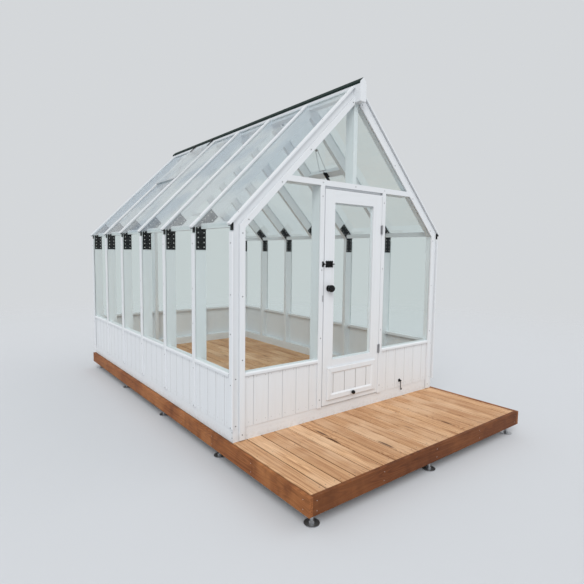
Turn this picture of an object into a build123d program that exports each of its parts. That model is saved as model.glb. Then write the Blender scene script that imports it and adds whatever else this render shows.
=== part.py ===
from build123d import *
import math
import os

os.makedirs("parts", exist_ok=True)

# Driving dimensions, in millimetres.
# The house frame has X across from the middle, Y back from the front wall's
# outer timber face, and Z up from the top of the deck.

# House
house_width = 2440.0
house_length = 3740.0
eaves_height = 1643.0
roof_pitch = 45.0
bay_count = 6

# Timber sections
post_thick = 45.0
post_deep = 95.0
base_high = 100.0
base_deep = 95.0
ridge_thick = 70.0
ridge_deep = 120.0
ridge_end_deep = 195.0
ridge_end_reach = 80.0
ridge_rise = 43.0
rail_thick = 45.0
rail_below_eaves = 32.0
strip_wide = 45.0
strip_proud = 18.0
strip_chamfer = 2.0
strip_top_gap = 70.0
corner_foot_gap = 10.0
king_thick = 45.0
joint_ease = 1.0

# Glass and cladding
glass_thick = 4.0
glass_lap = 15.0
glass_overhang = 22.0
bar_overhang = 27.0
sill_top = 525.0
sill_high = 27.0
sill_nose = 12.0
sill_fall = 9.0
board_wide = 138.0
board_thick = 18.0
board_gap = 0.6
board_chamfer = 4.0
board_cut_ease = 1.0

# Doorway and door
door_wide = 700.0
door_thick = 40.0
door_gap = 6.0
door_bottom = 112.0
door_top = 1958.0
stile_wide = 112.0
top_rail_high = 108.0
glass_low = 505.0
vent_low = 212.0
vent_top = 372.0
jamb_thick = 45.0
stop_thick = 12.0
stop_gap = 5.0
head_thick = 15.0
transom_low = 1980.0
transom_high = 45.0
door_glass_back = 19.0
bead_wide = 12.0
bead_deep = 14.0
bead_bevel = 6.0

# Hatch in the foot of the door
hatch_margin = 49.0
hatch_low = 155.0
hatch_top = 439.0
hatch_thick = 15.0
hatch_rail = 54.0
hatch_moulding = 12.0
hatch_recess = 8.0
hatch_first_groove = -92.0
hatch_groove_half = 3.0
hatch_knob_up = 27.0
hatch_knob_neck = 6.0
hatch_knob_ball = 17.5
hatch_knob_reach = 34.0
hatch_hinge_radius = 3.0

# Terrace
deck_front = 933.0
deck_side = 33.0
deck_back = 33.0
fascia_thick = 28.0
fascia_high = 120.0
deck_board_wide = 120.0
deck_board_gap = 7.0
deck_board_thick = 28.0
deck_ease = 2.0
joist_thick = 45.0
joist_count = 9
foot_high = 90.0
foot_radius = 50.0
foot_stem_radius = 11.0
foot_plate = 80.0
foot_plate_thick = 5.0

# Metalwork
plate_thick = 3.0
plate_leg = 203.0
plate_inset = 3.0
clip_wide = 40.0
clip_lip = 9.0
clip_gap = 1.0
cap_thick = 2.0
cap_leg = 16.0
cap_short = 6.0

# Roof vents
vent_down = 740.0
left_vent_bay_count = 4
right_vent_bay_count = 1
vent_gap = 1.0
vent_trim_wide = 10.0
vent_trim_thick = 2.0
trimmer_wide = 45.0
hinge_strap_long = 75.0
hinge_strap_wide = 34.0
hinge_barrel_reach = 11.0
hinge_leaf_long = 48.0
opener_below = 136.0
opener_above = 10.0
opener_radius = 13.0
opener_collar_radius = 15.0
opener_collar_long = 12.0
opener_foot_wide = 50.0
opener_foot_long = 60.0
piston_radius = 4.0
piston_long = 30.0
arm_radius = 2.5
arm_half_low = 50.0
arm_half_high = 16.0
arm_rise = 250.0
arm_pad_long = 26.0
arm_pad_wide = 44.0

# Door fittings
hinge_high = 79.0
hinge_low_z = 533.0
hinge_top_z = 1645.0
knuckle_count = 5
knuckle_radius = 5.5
hinge_pin_radius = 2.5
running_gap = 0.06
knuckle_gap = 0.5
flap_thick = 2.5
flap_wide = 17.0
knob_height = 1128.0
knob_in = 52.0
knob_radius = 31.0
knob_reach = 62.0
rose_radius = 27.0
rose_thick = 5.0
knob_neck_radius = 11.0
seat_gap = 0.3
bolt_height = 1333.0
bolt_plate_wide = 84.0
bolt_plate_high = 58.0
bolt_plate_in = 12.0
bolt_tip_in = 2.0
bolt_travel = 26.0
bolt_radius = 5.0
bolt_stand_off = 10.0
bolt_stem_long = 20.0
bolt_stem_radius = 3.5
bolt_ball_radius = 7.0
bolt_knob_gap = 3.5
bolt_plate_lobes = 4
plate_waist = 5.0
loop_wide = 12.0
loop_wall = 3.5
far_loop_in = 15.0
keep_wide = 20.0
keep_high = 48.0
keep_in = 2.0
keep_waist = 3.0
strike_wide = 12.0
strike_high = 52.0
strike_thick = 1.5
strike_height = 1044.0

# Cabin hook on the front wall
hook_x = 694.0
hook_plate_z = 165.0
hook_plate_radius = 16.0
hook_wire_radius = 3.0
hook_shank_radius = 3.5
hook_long = 88.0
hook_ring_radius = 8.0
hook_ring_wide = 6.0
hook_ear_apart = 17.0
hook_ear_thick = 3.0
hook_ear_high = 6.0
hook_bend = 7.0
hook_tip_long = 7.0
hook_ball_radius = 4.5
hook_stand_off = 20.0

# Sizes that follow
slope = math.tan(math.radians(roof_pitch))
lean = math.cos(math.radians(roof_pitch))
half_width = house_width / 2
deck_height = fascia_high + foot_high
rafter_drop = post_deep / lean
knee_inner_z = eaves_height + post_deep * slope - rafter_drop
rafter_peak = eaves_height + half_width * slope
inner_peak = rafter_peak - rafter_drop
ridge_top = rafter_peak + ridge_rise
ridge_shoulder = ridge_top - ridge_thick / 2 * slope
ridge_low = ridge_top - ridge_deep
ridge_end_low = ridge_top - ridge_end_deep
strip_back = -glass_thick
strip_front = -strip_proud
strip_run = house_length + 2 * strip_proud - strip_wide
strip_pitch = strip_run / bay_count
strip_ys = [strip_wide / 2 - strip_proud + strip_pitch * k for k in range(bay_count + 1)]
frame_ys = [min(max(y, post_thick / 2), house_length - post_thick / 2) for y in strip_ys]
leaf_front = -strip_proud
leaf_back = leaf_front + door_thick
opening_half = door_wide / 2 + door_gap
jamb_outer = opening_half + jamb_thick
stop_face = leaf_back + stop_gap
transom_top = transom_low + transom_high
sill_low = sill_top - sill_high
y_middle = ((house_length + ridge_end_reach) - deck_front) / 2
hatch_wide = door_wide - 2 * hatch_margin
base_to_ground = Location((0, -y_middle, deck_height))


def box(x0, x1, y0, y1, z0, z1):
    """A plain block between two corners."""
    low = Vector(min(x0, x1), min(y0, y1), min(z0, z1))
    size = (abs(x1 - x0), abs(y1 - y0), abs(z1 - z0))
    return Pos(low.X, low.Y, low.Z) * Box(*size, align=(Align.MIN, Align.MIN, Align.MIN))


def across(points, y0, y1):
    """A section drawn in X and Z, run along Y from y0 to y1."""
    face = make_face(Polyline(*[(x, z) for x, z in points], close=True))
    face = Plane.XZ * face
    return Pos(0, max(y0, y1), 0) * extrude(face, abs(y1 - y0))


def along_x(points, x0, x1):
    """A section drawn in Y and Z, run along X from x0 to x1."""
    face = make_face(Polyline(*[(y, z) for y, z in points], close=True))
    face = Plane.YZ * face
    return Pos(min(x0, x1), 0, 0) * extrude(face, abs(x1 - x0))


def upward(points, z0, z1):
    """A section drawn in X and Y, run up from z0 to z1."""
    face = make_face(Polyline(*[(x, y) for x, y in points], close=True))
    return Pos(0, 0, z0) * extrude(face, z1 - z0)


def mirrored(solids):
    """The same solids on the other side of the house's middle plane."""
    return [mirror(s, about=Plane.YZ) for s in solids]


def turned_back(solids):
    """The same solids at the other end of the house."""
    middle = Plane.XZ.offset(-house_length / 2)
    return [mirror(s, about=middle) for s in solids]


def both_sides(solids):
    """Solids of the left side, with the right side's."""
    return solids + mirrored(solids)


def both_ends(solids):
    """Solids of the front, with the back's."""
    return solids + turned_back(solids)


def save(name, solids):
    """Write one named sub-part, moved to stand on the ground."""
    placed = [base_to_ground * s for s in solids]
    shape = placed[0] if len(placed) == 1 else Compound(children=placed)
    export_step(shape, f"parts/{name}.step")


def from_left(x):
    """X of a point that lies x in from the left wall's outer face."""
    return x - half_width


def roof_z(x, off=0.0):
    """Height of the left roof at x in from the wall, off out from the rafter's top."""
    return eaves_height + x * slope + off / lean


def roof_point(x, off):
    """The point out from the rafter's top at x in from the wall."""
    side = math.sin(math.radians(roof_pitch))
    return (from_left(x) - off * side, eaves_height + x * slope + off * lean)


def roof_slab(x0, x1, off0, off1, y0, y1, square=True):
    """A slab that lies in the left roof's slope, its ends square to it or plumb."""
    if square:
        points = [roof_point(x0, off0), roof_point(x1, off0), roof_point(x1, off1), roof_point(x0, off1)]
    else:
        points = [
            (from_left(x0), roof_z(x0, off0)),
            (from_left(x1), roof_z(x1, off0)),
            (from_left(x1), roof_z(x1, off1)),
            (from_left(x0), roof_z(x0, off1)),
        ]
    return across(points, y0, y1)


# Terrace

def deck_feet():
    """Steel feet under the joists: a round base, a threaded stem and a top plate."""
    feet = []
    inset = foot_radius + fascia_thick
    xs = [-half_width - deck_side + inset, 0.0, half_width + deck_side - inset]
    base = Cylinder(foot_radius, foot_plate_thick, align=(Align.CENTER, Align.CENTER, Align.MIN))
    stem = Cylinder(foot_stem_radius, foot_high, align=(Align.CENTER, Align.CENTER, Align.MIN))
    top = Box(foot_plate, foot_plate, foot_plate_thick, align=(Align.CENTER, Align.CENTER, Align.MAX))
    foot = base + stem + Pos(0, 0, foot_high) * top
    for y in joist_ys()[::2]:
        for x in xs:
            feet.append(Pos(x, y, -deck_height) * foot)
    return feet


def joist_ys():
    """Middle lines of the joists, evenly spaced from front to back."""
    inset = fascia_thick + max(joist_thick, foot_plate) / 2
    first = -deck_front + inset
    last = house_length + deck_back - inset
    step = (last - first) / (joist_count - 1)
    return [first + step * k for k in range(joist_count)]


def deck_joists():
    """Joists across the deck, under the boards."""
    reach = half_width + deck_side - fascia_thick
    half = joist_thick / 2
    return [box(-reach, reach, y - half, y + half, -fascia_high, -deck_board_thick) for y in joist_ys()]


def deck_fascia_sides():
    """Long fascia boards down both sides of the deck."""
    outer = half_width + deck_side
    section = [
        (-outer, -fascia_high),
        (-outer + fascia_thick, -fascia_high),
        (-outer + fascia_thick, 0),
        (-outer + deck_ease, 0),
        (-outer, -deck_ease),
    ]
    return both_sides([across(section, -deck_front, house_length + deck_back)])


def deck_fascia_ends():
    """Fascia boards across the front and the back of the deck."""
    reach = half_width + deck_side - fascia_thick
    ends = []
    for outer, inward in ((-deck_front, 1), (house_length + deck_back, -1)):
        section = [
            (outer, -fascia_high),
            (outer + inward * fascia_thick, -fascia_high),
            (outer + inward * fascia_thick, 0),
            (outer + inward * deck_ease, 0),
            (outer, -deck_ease),
        ]
        ends.append(along_x(section, -reach, reach))
    return ends


def deck_boards():
    """Deck boards that run from front to back, with even gaps and eased edges."""
    reach = half_width + deck_side - fascia_thick
    board_count = int((2 * reach - deck_board_gap) // (deck_board_wide + deck_board_gap))
    gap = (2 * reach - board_count * deck_board_wide) / (board_count + 1)
    y0 = -deck_front + fascia_thick
    y1 = house_length + deck_back - fascia_thick
    boards = []
    for k in range(board_count):
        x0 = -reach + gap + k * (deck_board_wide + gap)
        x1 = x0 + deck_board_wide
        section = [
            (x0, -deck_board_thick),
            (x1, -deck_board_thick),
            (x1, -deck_ease),
            (x1 - deck_ease, 0),
            (x0 + deck_ease, 0),
            (x0, -deck_ease),
        ]
        boards.append(across(section, y0, y1))
    return boards


# Timber frame

def base_sides():
    """Base beams under the side walls."""
    return both_sides([box(from_left(0), from_left(base_deep), 0, house_length, 0, base_high)])


def base_ends():
    """Base beams under the end walls, the front one also the door's threshold."""
    reach = half_width - base_deep
    return both_ends([box(-reach, reach, 0, base_deep, 0, base_high)])


def side_posts():
    """Posts of the portal frames, mitred to the rafters at the eaves."""
    section = [
        (from_left(0), base_high),
        (from_left(post_deep), base_high),
        (from_left(post_deep), knee_inner_z),
        (from_left(0), eaves_height),
    ]
    half = post_thick / 2
    posts = []
    for y in frame_ys:
        post = across(section, y - half, y + half)
        ends = post.faces().sort_by(Axis.Z)
        posts.append(chamfer(ends[0].edges() + ends[-1].edges(), joint_ease))
    return both_sides(posts)


def rafters_left():
    """Left rafters, mitred at the eaves and the middle, notched for the ridge beam."""
    half_ridge = ridge_thick / 2
    section = [
        (from_left(0), eaves_height),
        (from_left(post_deep), knee_inner_z),
        (0, inner_peak),
        (0, ridge_low),
        (-half_ridge, ridge_low),
        (-half_ridge, rafter_peak - half_ridge * slope),
    ]
    half = post_thick / 2
    rafters = []
    for y in frame_ys:
        rafter = across(section, y - half, y + half)
        knee = rafter.faces().sort_by(Axis.X)[0]
        rafters.append(chamfer(knee.edges(), joint_ease))
    return rafters


def eaves_rails():
    """Rails between the knees of the frames, level with the posts' inner faces."""
    x0 = from_left(post_deep - rail_thick)
    x1 = from_left(post_deep)
    low = eaves_height - rail_below_eaves
    rails = []
    back_off = post_thick / 2 + plate_thick
    for y0, y1 in zip(frame_ys, frame_ys[1:]):
        rails.append(box(x0, x1, y0 + back_off, y1 - back_off, low, low + rail_thick))
    return both_sides(rails)


def ridge_section(low):
    """Section of the ridge timber with its bevelled top."""
    half = ridge_thick / 2
    return [(-half, low), (half, low), (half, ridge_shoulder), (0, ridge_top), (-half, ridge_shoulder)]


def ridge_beam():
    """Ridge beam that lies in the rafters' notches."""
    return [across(ridge_section(ridge_low), 0, house_length)]


def ridge_end_blocks():
    """Deep blocks that stand out at both ends of the ridge."""
    return both_ends([across(ridge_section(ridge_end_low), -ridge_end_reach, 0)])


def transoms():
    """Beams across the gables at door head height, cut to the rafters."""
    low_x = (transom_low - knee_inner_z) / slope + post_deep
    high_x = (transom_top - knee_inner_z) / slope + post_deep
    section = [
        (from_left(low_x), transom_low),
        (-from_left(low_x), transom_low),
        (-from_left(high_x), transom_top),
        (from_left(high_x), transom_top),
    ]
    return both_ends([across(section, 0, post_deep)])


def king_posts():
    """Uprights from the transoms to the peak of the rafters."""
    half = king_thick / 2
    section = [
        (-half, transom_top),
        (half, transom_top),
        (half, inner_peak - half * slope),
        (0, inner_peak),
        (-half, inner_peak - half * slope),
    ]
    return both_ends([across(section, 0, post_deep)])


def gable_studs():
    """Door jambs with their stops at the front, and plain studs at the back."""
    jamb = [
        (-jamb_outer, 0),
        (-opening_half, 0),
        (-opening_half, stop_face),
        (-opening_half + stop_thick, stop_face),
        (-opening_half + stop_thick, post_deep),
        (-jamb_outer, post_deep),
    ]
    front = both_sides([upward(jamb, base_high, transom_low)])
    stud = [box(-jamb_outer, -opening_half, 0, post_deep, base_high, transom_low)]
    return front + both_sides(turned_back(stud))


def door_head():
    """Head lining under the transom, with the stop that the leaf closes on."""
    head_low = transom_low - head_thick
    section = [
        (0, transom_low),
        (0, head_low),
        (stop_face, head_low),
        (stop_face, head_low - stop_thick),
        (post_deep, head_low - stop_thick),
        (post_deep, transom_low),
    ]
    reach = opening_half - stop_thick
    return [along_x(section, -reach, reach)]


# Strips that hold the glass

def bar(x0, x1, z0, z1):
    """An upright strip on the front wall, its outer edges eased."""
    c = strip_chamfer
    section = [
        (x0, strip_back),
        (x0, strip_front + c),
        (x0 + c, strip_front),
        (x1 - c, strip_front),
        (x1, strip_front + c),
        (x1, strip_back),
    ]
    return upward(section, z0, z1)


def side_strips():
    """Upright strips on the side walls, one over each post, their feet cut to shed water."""
    c = strip_chamfer
    half = strip_wide / 2
    x0 = from_left(strip_back)
    x1 = from_left(strip_front)
    foot = [(x0, base_high), (x1, base_high + x0 - x1), (x1, base_high)]
    foot_cut = across(foot, strip_ys[0] - strip_wide, strip_ys[-1] + strip_wide)
    strips = []
    for y in strip_ys:
        section = [
            (x0, y - half),
            (x0, y + half),
            (x1 + c, y + half),
            (x1, y + half - c),
            (x1, y - half + c),
            (x1 + c, y - half),
        ]
        strip = upward(section, base_high, eaves_height - strip_top_gap)
        strips.append(strip - foot_cut)
    return both_sides(strips)


def roof_bars():
    """Bars down the roof over each rafter, tight under the ridge cap."""
    x1 = half_width - ridge_thick / 2
    half = strip_wide / 2
    bars = []
    for y in strip_ys:
        bars.append(roof_bar(-bar_overhang, x1, y - half, y + half))
    return both_sides(bars)


def roof_bar(x0, x1, y0, y1):
    """One roof bar, square at its lower end and plumb at the ridge."""
    low = glass_thick
    points = [
        roof_point(x0, low),
        (from_left(x1), roof_z(x1, low)),
        (from_left(x1), roof_z(x1, strip_proud)),
        roof_point(x0, strip_proud),
    ]
    return across(points, y0, y1)


def strip_line(x, off):
    """Height of a line off up from the rafter's inner edge, at x in from the wall."""
    return knee_inner_z + (x - post_deep) * slope + off / lean


def upright_strips():
    """Strips up the corner posts and the studs of both gables."""
    x0 = post_deep - strip_wide
    corner = across(
        [
            (from_left(x0), corner_foot_gap),
            (from_left(post_deep), corner_foot_gap),
            (from_left(post_deep), knee_inner_z),
            (from_left(x0), strip_line(x0, strip_wide)),
        ],
        strip_front,
        strip_back,
    )
    stud = bar(-jamb_outer, -opening_half, base_high, transom_low)
    return both_ends(both_sides([corner, stud]))


def gable_strips():
    """Strips up the rafters of both gables, mitred at the knee."""
    x0 = post_deep - strip_wide
    x1 = half_width - ridge_thick / 2
    section = [
        (from_left(post_deep), knee_inner_z),
        (from_left(x1), strip_line(x1, 0)),
        (from_left(x1), strip_line(x1, strip_wide)),
        (from_left(x0), strip_line(x0, strip_wide)),
    ]
    return both_ends(both_sides([across(section, strip_front, strip_back)]))


def transom_strips():
    """Strips on the transoms, their ends cut along the rafter strips."""
    low_x = (transom_low - knee_inner_z) / slope + post_deep
    high_x = (transom_top - knee_inner_z) / slope + post_deep
    section = [
        (from_left(low_x), transom_low),
        (-from_left(low_x), transom_low),
        (-from_left(high_x), transom_top),
        (from_left(high_x), transom_top),
    ]
    return both_ends([across(section, strip_front, strip_back)])


# Walls

def board_edges(start, stop):
    """Edges of the boards in a bay: whole boards in the middle, one cut to fit at each side."""
    width = stop - start
    whole_count = max(0, int(width // board_wide) - 1)
    first = start + (width - whole_count * board_wide) / 2
    return [start] + [first + k * board_wide for k in range(whole_count + 1)] + [stop]


def board_sections(start, stop):
    """Sections of a bay's boards: place along the bay and depth from the wall's face."""
    edges = board_edges(start, stop)
    front = -glass_thick
    back = front + board_thick
    sections = []
    for a0, a1 in zip(edges, edges[1:]):
        first = a0 == start
        last = a1 == stop
        a0 = a0 if first else a0 + board_gap / 2
        a1 = a1 if last else a1 - board_gap / 2
        c0 = board_cut_ease if first else board_chamfer
        c1 = board_cut_ease if last else board_chamfer
        sections.append(
            [(a0, back), (a0, front + c0), (a0 + c0, front), (a1 - c1, front), (a1, front + c1), (a1, back)]
        )
    return sections


def cladding_sides():
    """Upright boards under the side sills, between the posts."""
    boards = []
    half = post_thick / 2
    for y0, y1 in zip(frame_ys, frame_ys[1:]):
        for flat in board_sections(y0 + half, y1 - half):
            section = [(from_left(depth), y) for y, depth in flat]
            boards.append(upward(section, base_high, sill_low))
    return both_sides(boards)


def cladding_ends():
    """Upright boards under the gable sills."""
    def bay(x0, x1):
        return [upward(flat, base_high, sill_low) for flat in board_sections(x0, x1)]

    outer = both_sides(bay(from_left(post_deep), -jamb_outer))
    middle = bay(-opening_half, opening_half)
    return outer + turned_back(outer + middle)


def sill_section(back):
    """Section of a sill: depth in from the wall's face, and height."""
    nose = -glass_thick - sill_nose
    return [
        (back, sill_low),
        (nose, sill_low),
        (nose, sill_top - sill_fall),
        (-glass_thick, sill_top),
        (back, sill_top),
    ]


def sills_sides():
    """Sills between the side posts, sloped outwards under the glass."""
    sills = []
    half = post_thick / 2
    section = [(from_left(depth), z) for depth, z in sill_section(rail_thick)]
    for y0, y1 in zip(frame_ys, frame_ys[1:]):
        sills.append(across(section, y0 + half, y1 - half))
    return both_sides(sills)


def sills_ends():
    """Sills between the uprights of both gables."""
    section = sill_section(rail_thick)
    outer = both_sides([along_x(section, from_left(post_deep), -jamb_outer)])
    middle = [along_x(section, -opening_half, opening_half)]
    return outer + turned_back(outer + middle)


def glass_sides():
    """Panes of the side walls, lapped onto the posts under the strips."""
    panes = []
    gap = strip_wide - 2 * glass_lap
    for y0, y1 in zip(strip_ys, strip_ys[1:]):
        start = max(y0 + gap / 2, 0)
        stop = min(y1 - gap / 2, house_length)
        top = eaves_height - glass_thick
        panes.append(box(from_left(-glass_thick), from_left(0), start, stop, sill_top, top))
    return both_sides(panes)


def glass_ends():
    """Panes of the gables: beside the door, over the transom, and the rear middle bay."""
    lap = glass_lap
    x0 = post_deep - lap
    x1 = from_left(0) * -1 - jamb_outer + lap
    top = transom_low + lap
    top_x = (top - strip_line(0, lap)) / slope
    outer = across(
        [
            (from_left(x0), sill_top),
            (from_left(x1), sill_top),
            (from_left(x1), top),
            (from_left(top_x), top),
            (from_left(x0), strip_line(x0, lap)),
        ],
        -glass_thick,
        0,
    )
    gable_low = transom_top - lap
    gable_top = ridge_end_low - glass_thick
    low_x = (gable_low - strip_line(0, lap)) / slope
    high_x = (gable_top - strip_line(0, lap)) / slope
    gable = across(
        [
            (from_left(low_x), gable_low),
            (-from_left(low_x), gable_low),
            (-from_left(high_x), gable_top),
            (from_left(high_x), gable_top),
        ],
        -glass_thick,
        0,
    )
    half = opening_half + lap
    middle = box(-half, half, -glass_thick, 0, sill_top, top)
    return both_ends(both_sides([outer]) + [gable]) + turned_back([middle])


def glass_roof():
    """Panes of the roof, from the eaves to the ridge, or to the vent."""
    gap = strip_wide - 2 * glass_lap
    ridge_x = half_width - ridge_thick / 2
    sides = []
    for vent_bay in (left_vent_bay_count, right_vent_bay_count):
        panes = []
        for k in range(bay_count):
            y0 = max(strip_ys[k] + gap / 2, 0)
            y1 = min(strip_ys[k + 1] - gap / 2, house_length)
            x1 = vent_foot_x() + trimmer_wide * lean / 2 if k == vent_bay else ridge_x
            panes.append(roof_slab(-glass_overhang, x1, 0, glass_thick, y0, y1, square=False))
        sides.append(panes)
    return sides[0] + mirrored(sides[1])


# Roof vents

def vent_foot_x():
    """How far in from the wall the vents' lower edge lies."""
    return half_width - ridge_thick / 2 - vent_down * lean


def cap_face_off():
    """How far out from the rafters' top line the cap's sloped face lies."""
    shoulder = (half_width - ridge_thick / 2 - cap_thick, ridge_shoulder + cap_thick / 2 - eaves_height)
    return (shoulder[1] - shoulder[0]) * lean


def vent_hinge(x1, y, high):
    """Hinge of a vent: strap on the pane, barrel, and a leaf on the ridge cap."""
    half = hinge_strap_wide / 2
    strap = hinge_strap_long * lean
    reach = hinge_barrel_reach * lean
    leaf = hinge_leaf_long * lean
    face = cap_face_off()
    strap_part = roof_slab(x1 - strap, x1 + reach, high, high + plate_thick, y - half, y + half)
    leaf_part = roof_slab(x1 + reach, x1 + reach + leaf, face, face + plate_thick, y - half, y + half)
    barrel_x, barrel_z = roof_point(x1 + reach, (face + high + plate_thick) / 2)
    barrel = Pos(barrel_x, y, barrel_z) * Rot(90, 0, 0) * Cylinder(
        (face + plate_thick - high) / 2, hinge_strap_wide
    )
    return strap_part + leaf_part + barrel


def opener_plane(x, y):
    """Where the opener sits: on the trimmer's upper edge, its Z up the slope and its Y outwards."""
    origin_x, origin_z = roof_point(x, -trimmer_wide - plate_thick - opener_radius)
    up_slope = (lean, 0, math.sin(math.radians(roof_pitch)))
    return Plane(origin=(origin_x, y, origin_z), x_dir=(0, 1, 0), z_dir=up_slope)


def vent_opener(x, y):
    """Tube of a vent's opener, clipped by two collars to a foot under the trimmer."""
    upright = (Align.CENTER, Align.CENTER, Align.MIN)
    tube = Cylinder(opener_radius, opener_below + opener_above, align=upright)
    opener = Pos(0, 0, -opener_below) * tube
    half = opener_foot_wide / 2
    back = opener_radius - plate_thick
    opener = opener + box(-half, half, back, back + 2 * plate_thick, -opener_foot_long, 0)
    collar = Cylinder(opener_collar_radius, opener_collar_long, align=upright)
    for low in (-opener_foot_long, -opener_collar_long, -opener_below):
        opener = opener + Pos(0, 0, low) * collar
    return opener_plane(x, y) * opener


def rod_between(low, high, radius):
    """A round rod from one point to another."""
    way = Vector(*high) - Vector(*low)
    upright = (Align.CENTER, Align.CENTER, Align.MIN)
    return Plane(origin=low, z_dir=way) * Cylinder(radius, way.length, align=upright)


def vent_arms(x, y):
    """Piston of a vent's opener with its cross pin, two arms and the pad under the pane."""
    pin_z = opener_above + piston_long
    pane = trimmer_wide + plate_thick + opener_radius + strip_proud
    pad_y = pane - plate_thick
    arms = rod_between((0, 0, opener_above), (0, 0, pin_z), piston_radius)
    arms = arms + rod_between((-arm_half_low, 0, pin_z), (arm_half_low, 0, pin_z), piston_radius)
    for side in (-1, 1):
        low = (side * arm_half_low, 0, pin_z)
        high = (side * arm_half_high, pad_y + plate_thick / 2, arm_rise)
        arms = arms + rod_between(low, high, arm_radius) + Pos(*low) * Sphere(piston_radius)
    half = arm_pad_wide / 2
    reach = arm_pad_long / 2
    above = box(-half, half, pane, 2 * pane, arm_rise - reach, arm_rise + reach)
    arms = arms + box(-half, half, pad_y, pane, arm_rise - reach, arm_rise + reach) - above
    return opener_plane(x, y) * arms


def vent_parts(bay):
    """Pane, edge trim, hinges, opener, arms and trimmer with its laths, of a vent on the left roof."""
    y0 = strip_ys[bay]
    y1 = strip_ys[bay + 1]
    x0 = vent_foot_x()
    x1 = half_width - ridge_thick / 2 - cap_thick - vent_gap
    low = strip_proud
    high = low + glass_thick
    run = trimmer_wide * lean
    trim_run = vent_trim_wide * lean
    lip_run = vent_trim_thick * lean
    trim_high = high + vent_trim_thick
    trim = roof_slab(x0, x0 + trim_run, high, trim_high, y0, y1)
    trim = trim + roof_slab(x0 - lip_run, x0, low, trim_high, y0, y1)
    hinge_in = strip_wide / 2 + hinge_strap_wide
    trim_x = x0 + run
    trim_y0 = frame_ys[bay] + post_thick / 2
    trim_y1 = frame_ys[bay + 1] - post_thick / 2
    lath_y0 = y0 + strip_wide / 2
    lath_y1 = y1 - strip_wide / 2
    glass_end = x0 + run / 2 + glass_thick * lean
    middle = (y0 + y1) / 2
    return {
        "vent_glass": [roof_slab(x0, x1, low, high, y0, y1)],
        "vent_trims": [trim],
        "vent_hinges": [vent_hinge(x1, y, high) for y in (y0 + hinge_in, y1 - hinge_in)],
        "vent_openers": [vent_opener(trim_x, middle)],
        "vent_arms": [vent_arms(trim_x, middle)],
        "vent_trimmers": [
            roof_slab(x0 - run / 2, trim_x, -trimmer_wide, 0, trim_y0, trim_y1),
            roof_slab(glass_end, trim_x, 0, low, lath_y0, lath_y1),
            roof_slab(x1 - run, x1, 0, low, lath_y0, lath_y1),
        ],
    }


# Metalwork of the frame

def knee_plates():
    """Steel plates on the knees of the frames, a leg down the post and one up the rafter."""
    c = plate_inset
    run = plate_leg * lean
    inner = post_deep - c
    tilt_in = c * math.tan(math.radians(roof_pitch / 2))
    top = (tilt_in + run, roof_z(tilt_in + run, -c))
    depth = (post_deep - 2 * c) * lean
    low_end = (top[0] + depth, top[1] - depth)
    knee_z = strip_line(inner, c)
    points = [
        (c, eaves_height - plate_leg),
        (inner, eaves_height - plate_leg),
        (inner, knee_z),
        low_end,
        top,
        (c, roof_z(c, -c)),
    ]
    section = [(from_left(x), z) for x, z in points]
    plates = []
    half = post_thick / 2
    for k, y in enumerate(frame_ys):
        if k > 0:
            plates.append(across(section, y - half - plate_thick, y - half))
        if k < bay_count:
            plates.append(across(section, y + half, y + half + plate_thick))
    return both_sides(plates)


def roof_clips():
    """Clips on the post heads that hook round the lower edge of the roof glass."""
    t = plate_thick
    face = -glass_thick
    under = -t / lean
    lip_x = -glass_overhang - clip_lip * lean / 2
    top_z = roof_z(face - t, 0) + under
    points = [
        (face, eaves_height - strip_top_gap + clip_lip),
        (face, roof_z(face, 0) - clip_gap),
        (lip_x, roof_z(lip_x, 0) - clip_gap),
        (lip_x, roof_z(lip_x, 0) - clip_gap + under),
        (face - t, top_z - clip_gap),
        (face - t, eaves_height - strip_top_gap + clip_lip),
    ]
    section = [(from_left(x), z) for x, z in points]
    half = clip_wide / 2
    return both_sides([across(section, y - half, y + half) for y in strip_ys])


def ridge_cap():
    """Folded metal cap over the ridge, with a short leg down each side."""
    half = ridge_thick / 2
    t = cap_thick
    section = [
        (-half, ridge_shoulder - cap_leg),
        (-half, ridge_shoulder),
        (0, ridge_top),
        (half, ridge_shoulder),
        (half, ridge_shoulder - cap_leg),
        (half + t, ridge_shoulder - cap_leg),
        (half + t, ridge_shoulder + t / 2),
        (0, ridge_top + t / lean),
        (-half - t, ridge_shoulder + t / 2),
        (-half - t, ridge_shoulder - cap_leg),
    ]
    reach = ridge_end_reach - cap_short
    return [across(section, -reach, house_length + reach)]


# Door

def door_stiles():
    """The door's two upright sides."""
    half = door_wide / 2
    return both_sides([box(-half, -half + stile_wide, leaf_front, leaf_back, door_bottom, door_top)])


def door_rails():
    """Top rail, middle rail and bottom rail of the door."""
    half = door_wide / 2 - stile_wide
    spans = [(door_bottom, vent_low), (vent_top, glass_low), (door_top - top_rail_high, door_top)]
    return [box(-half, half, leaf_front, leaf_back, low, high) for low, high in spans]


def door_glass():
    """The door's pane."""
    half = door_wide / 2 - stile_wide
    y0 = leaf_front + door_glass_back
    return [box(-half, half, y0, y0 + glass_thick, glass_low, door_top - top_rail_high)]


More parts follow.
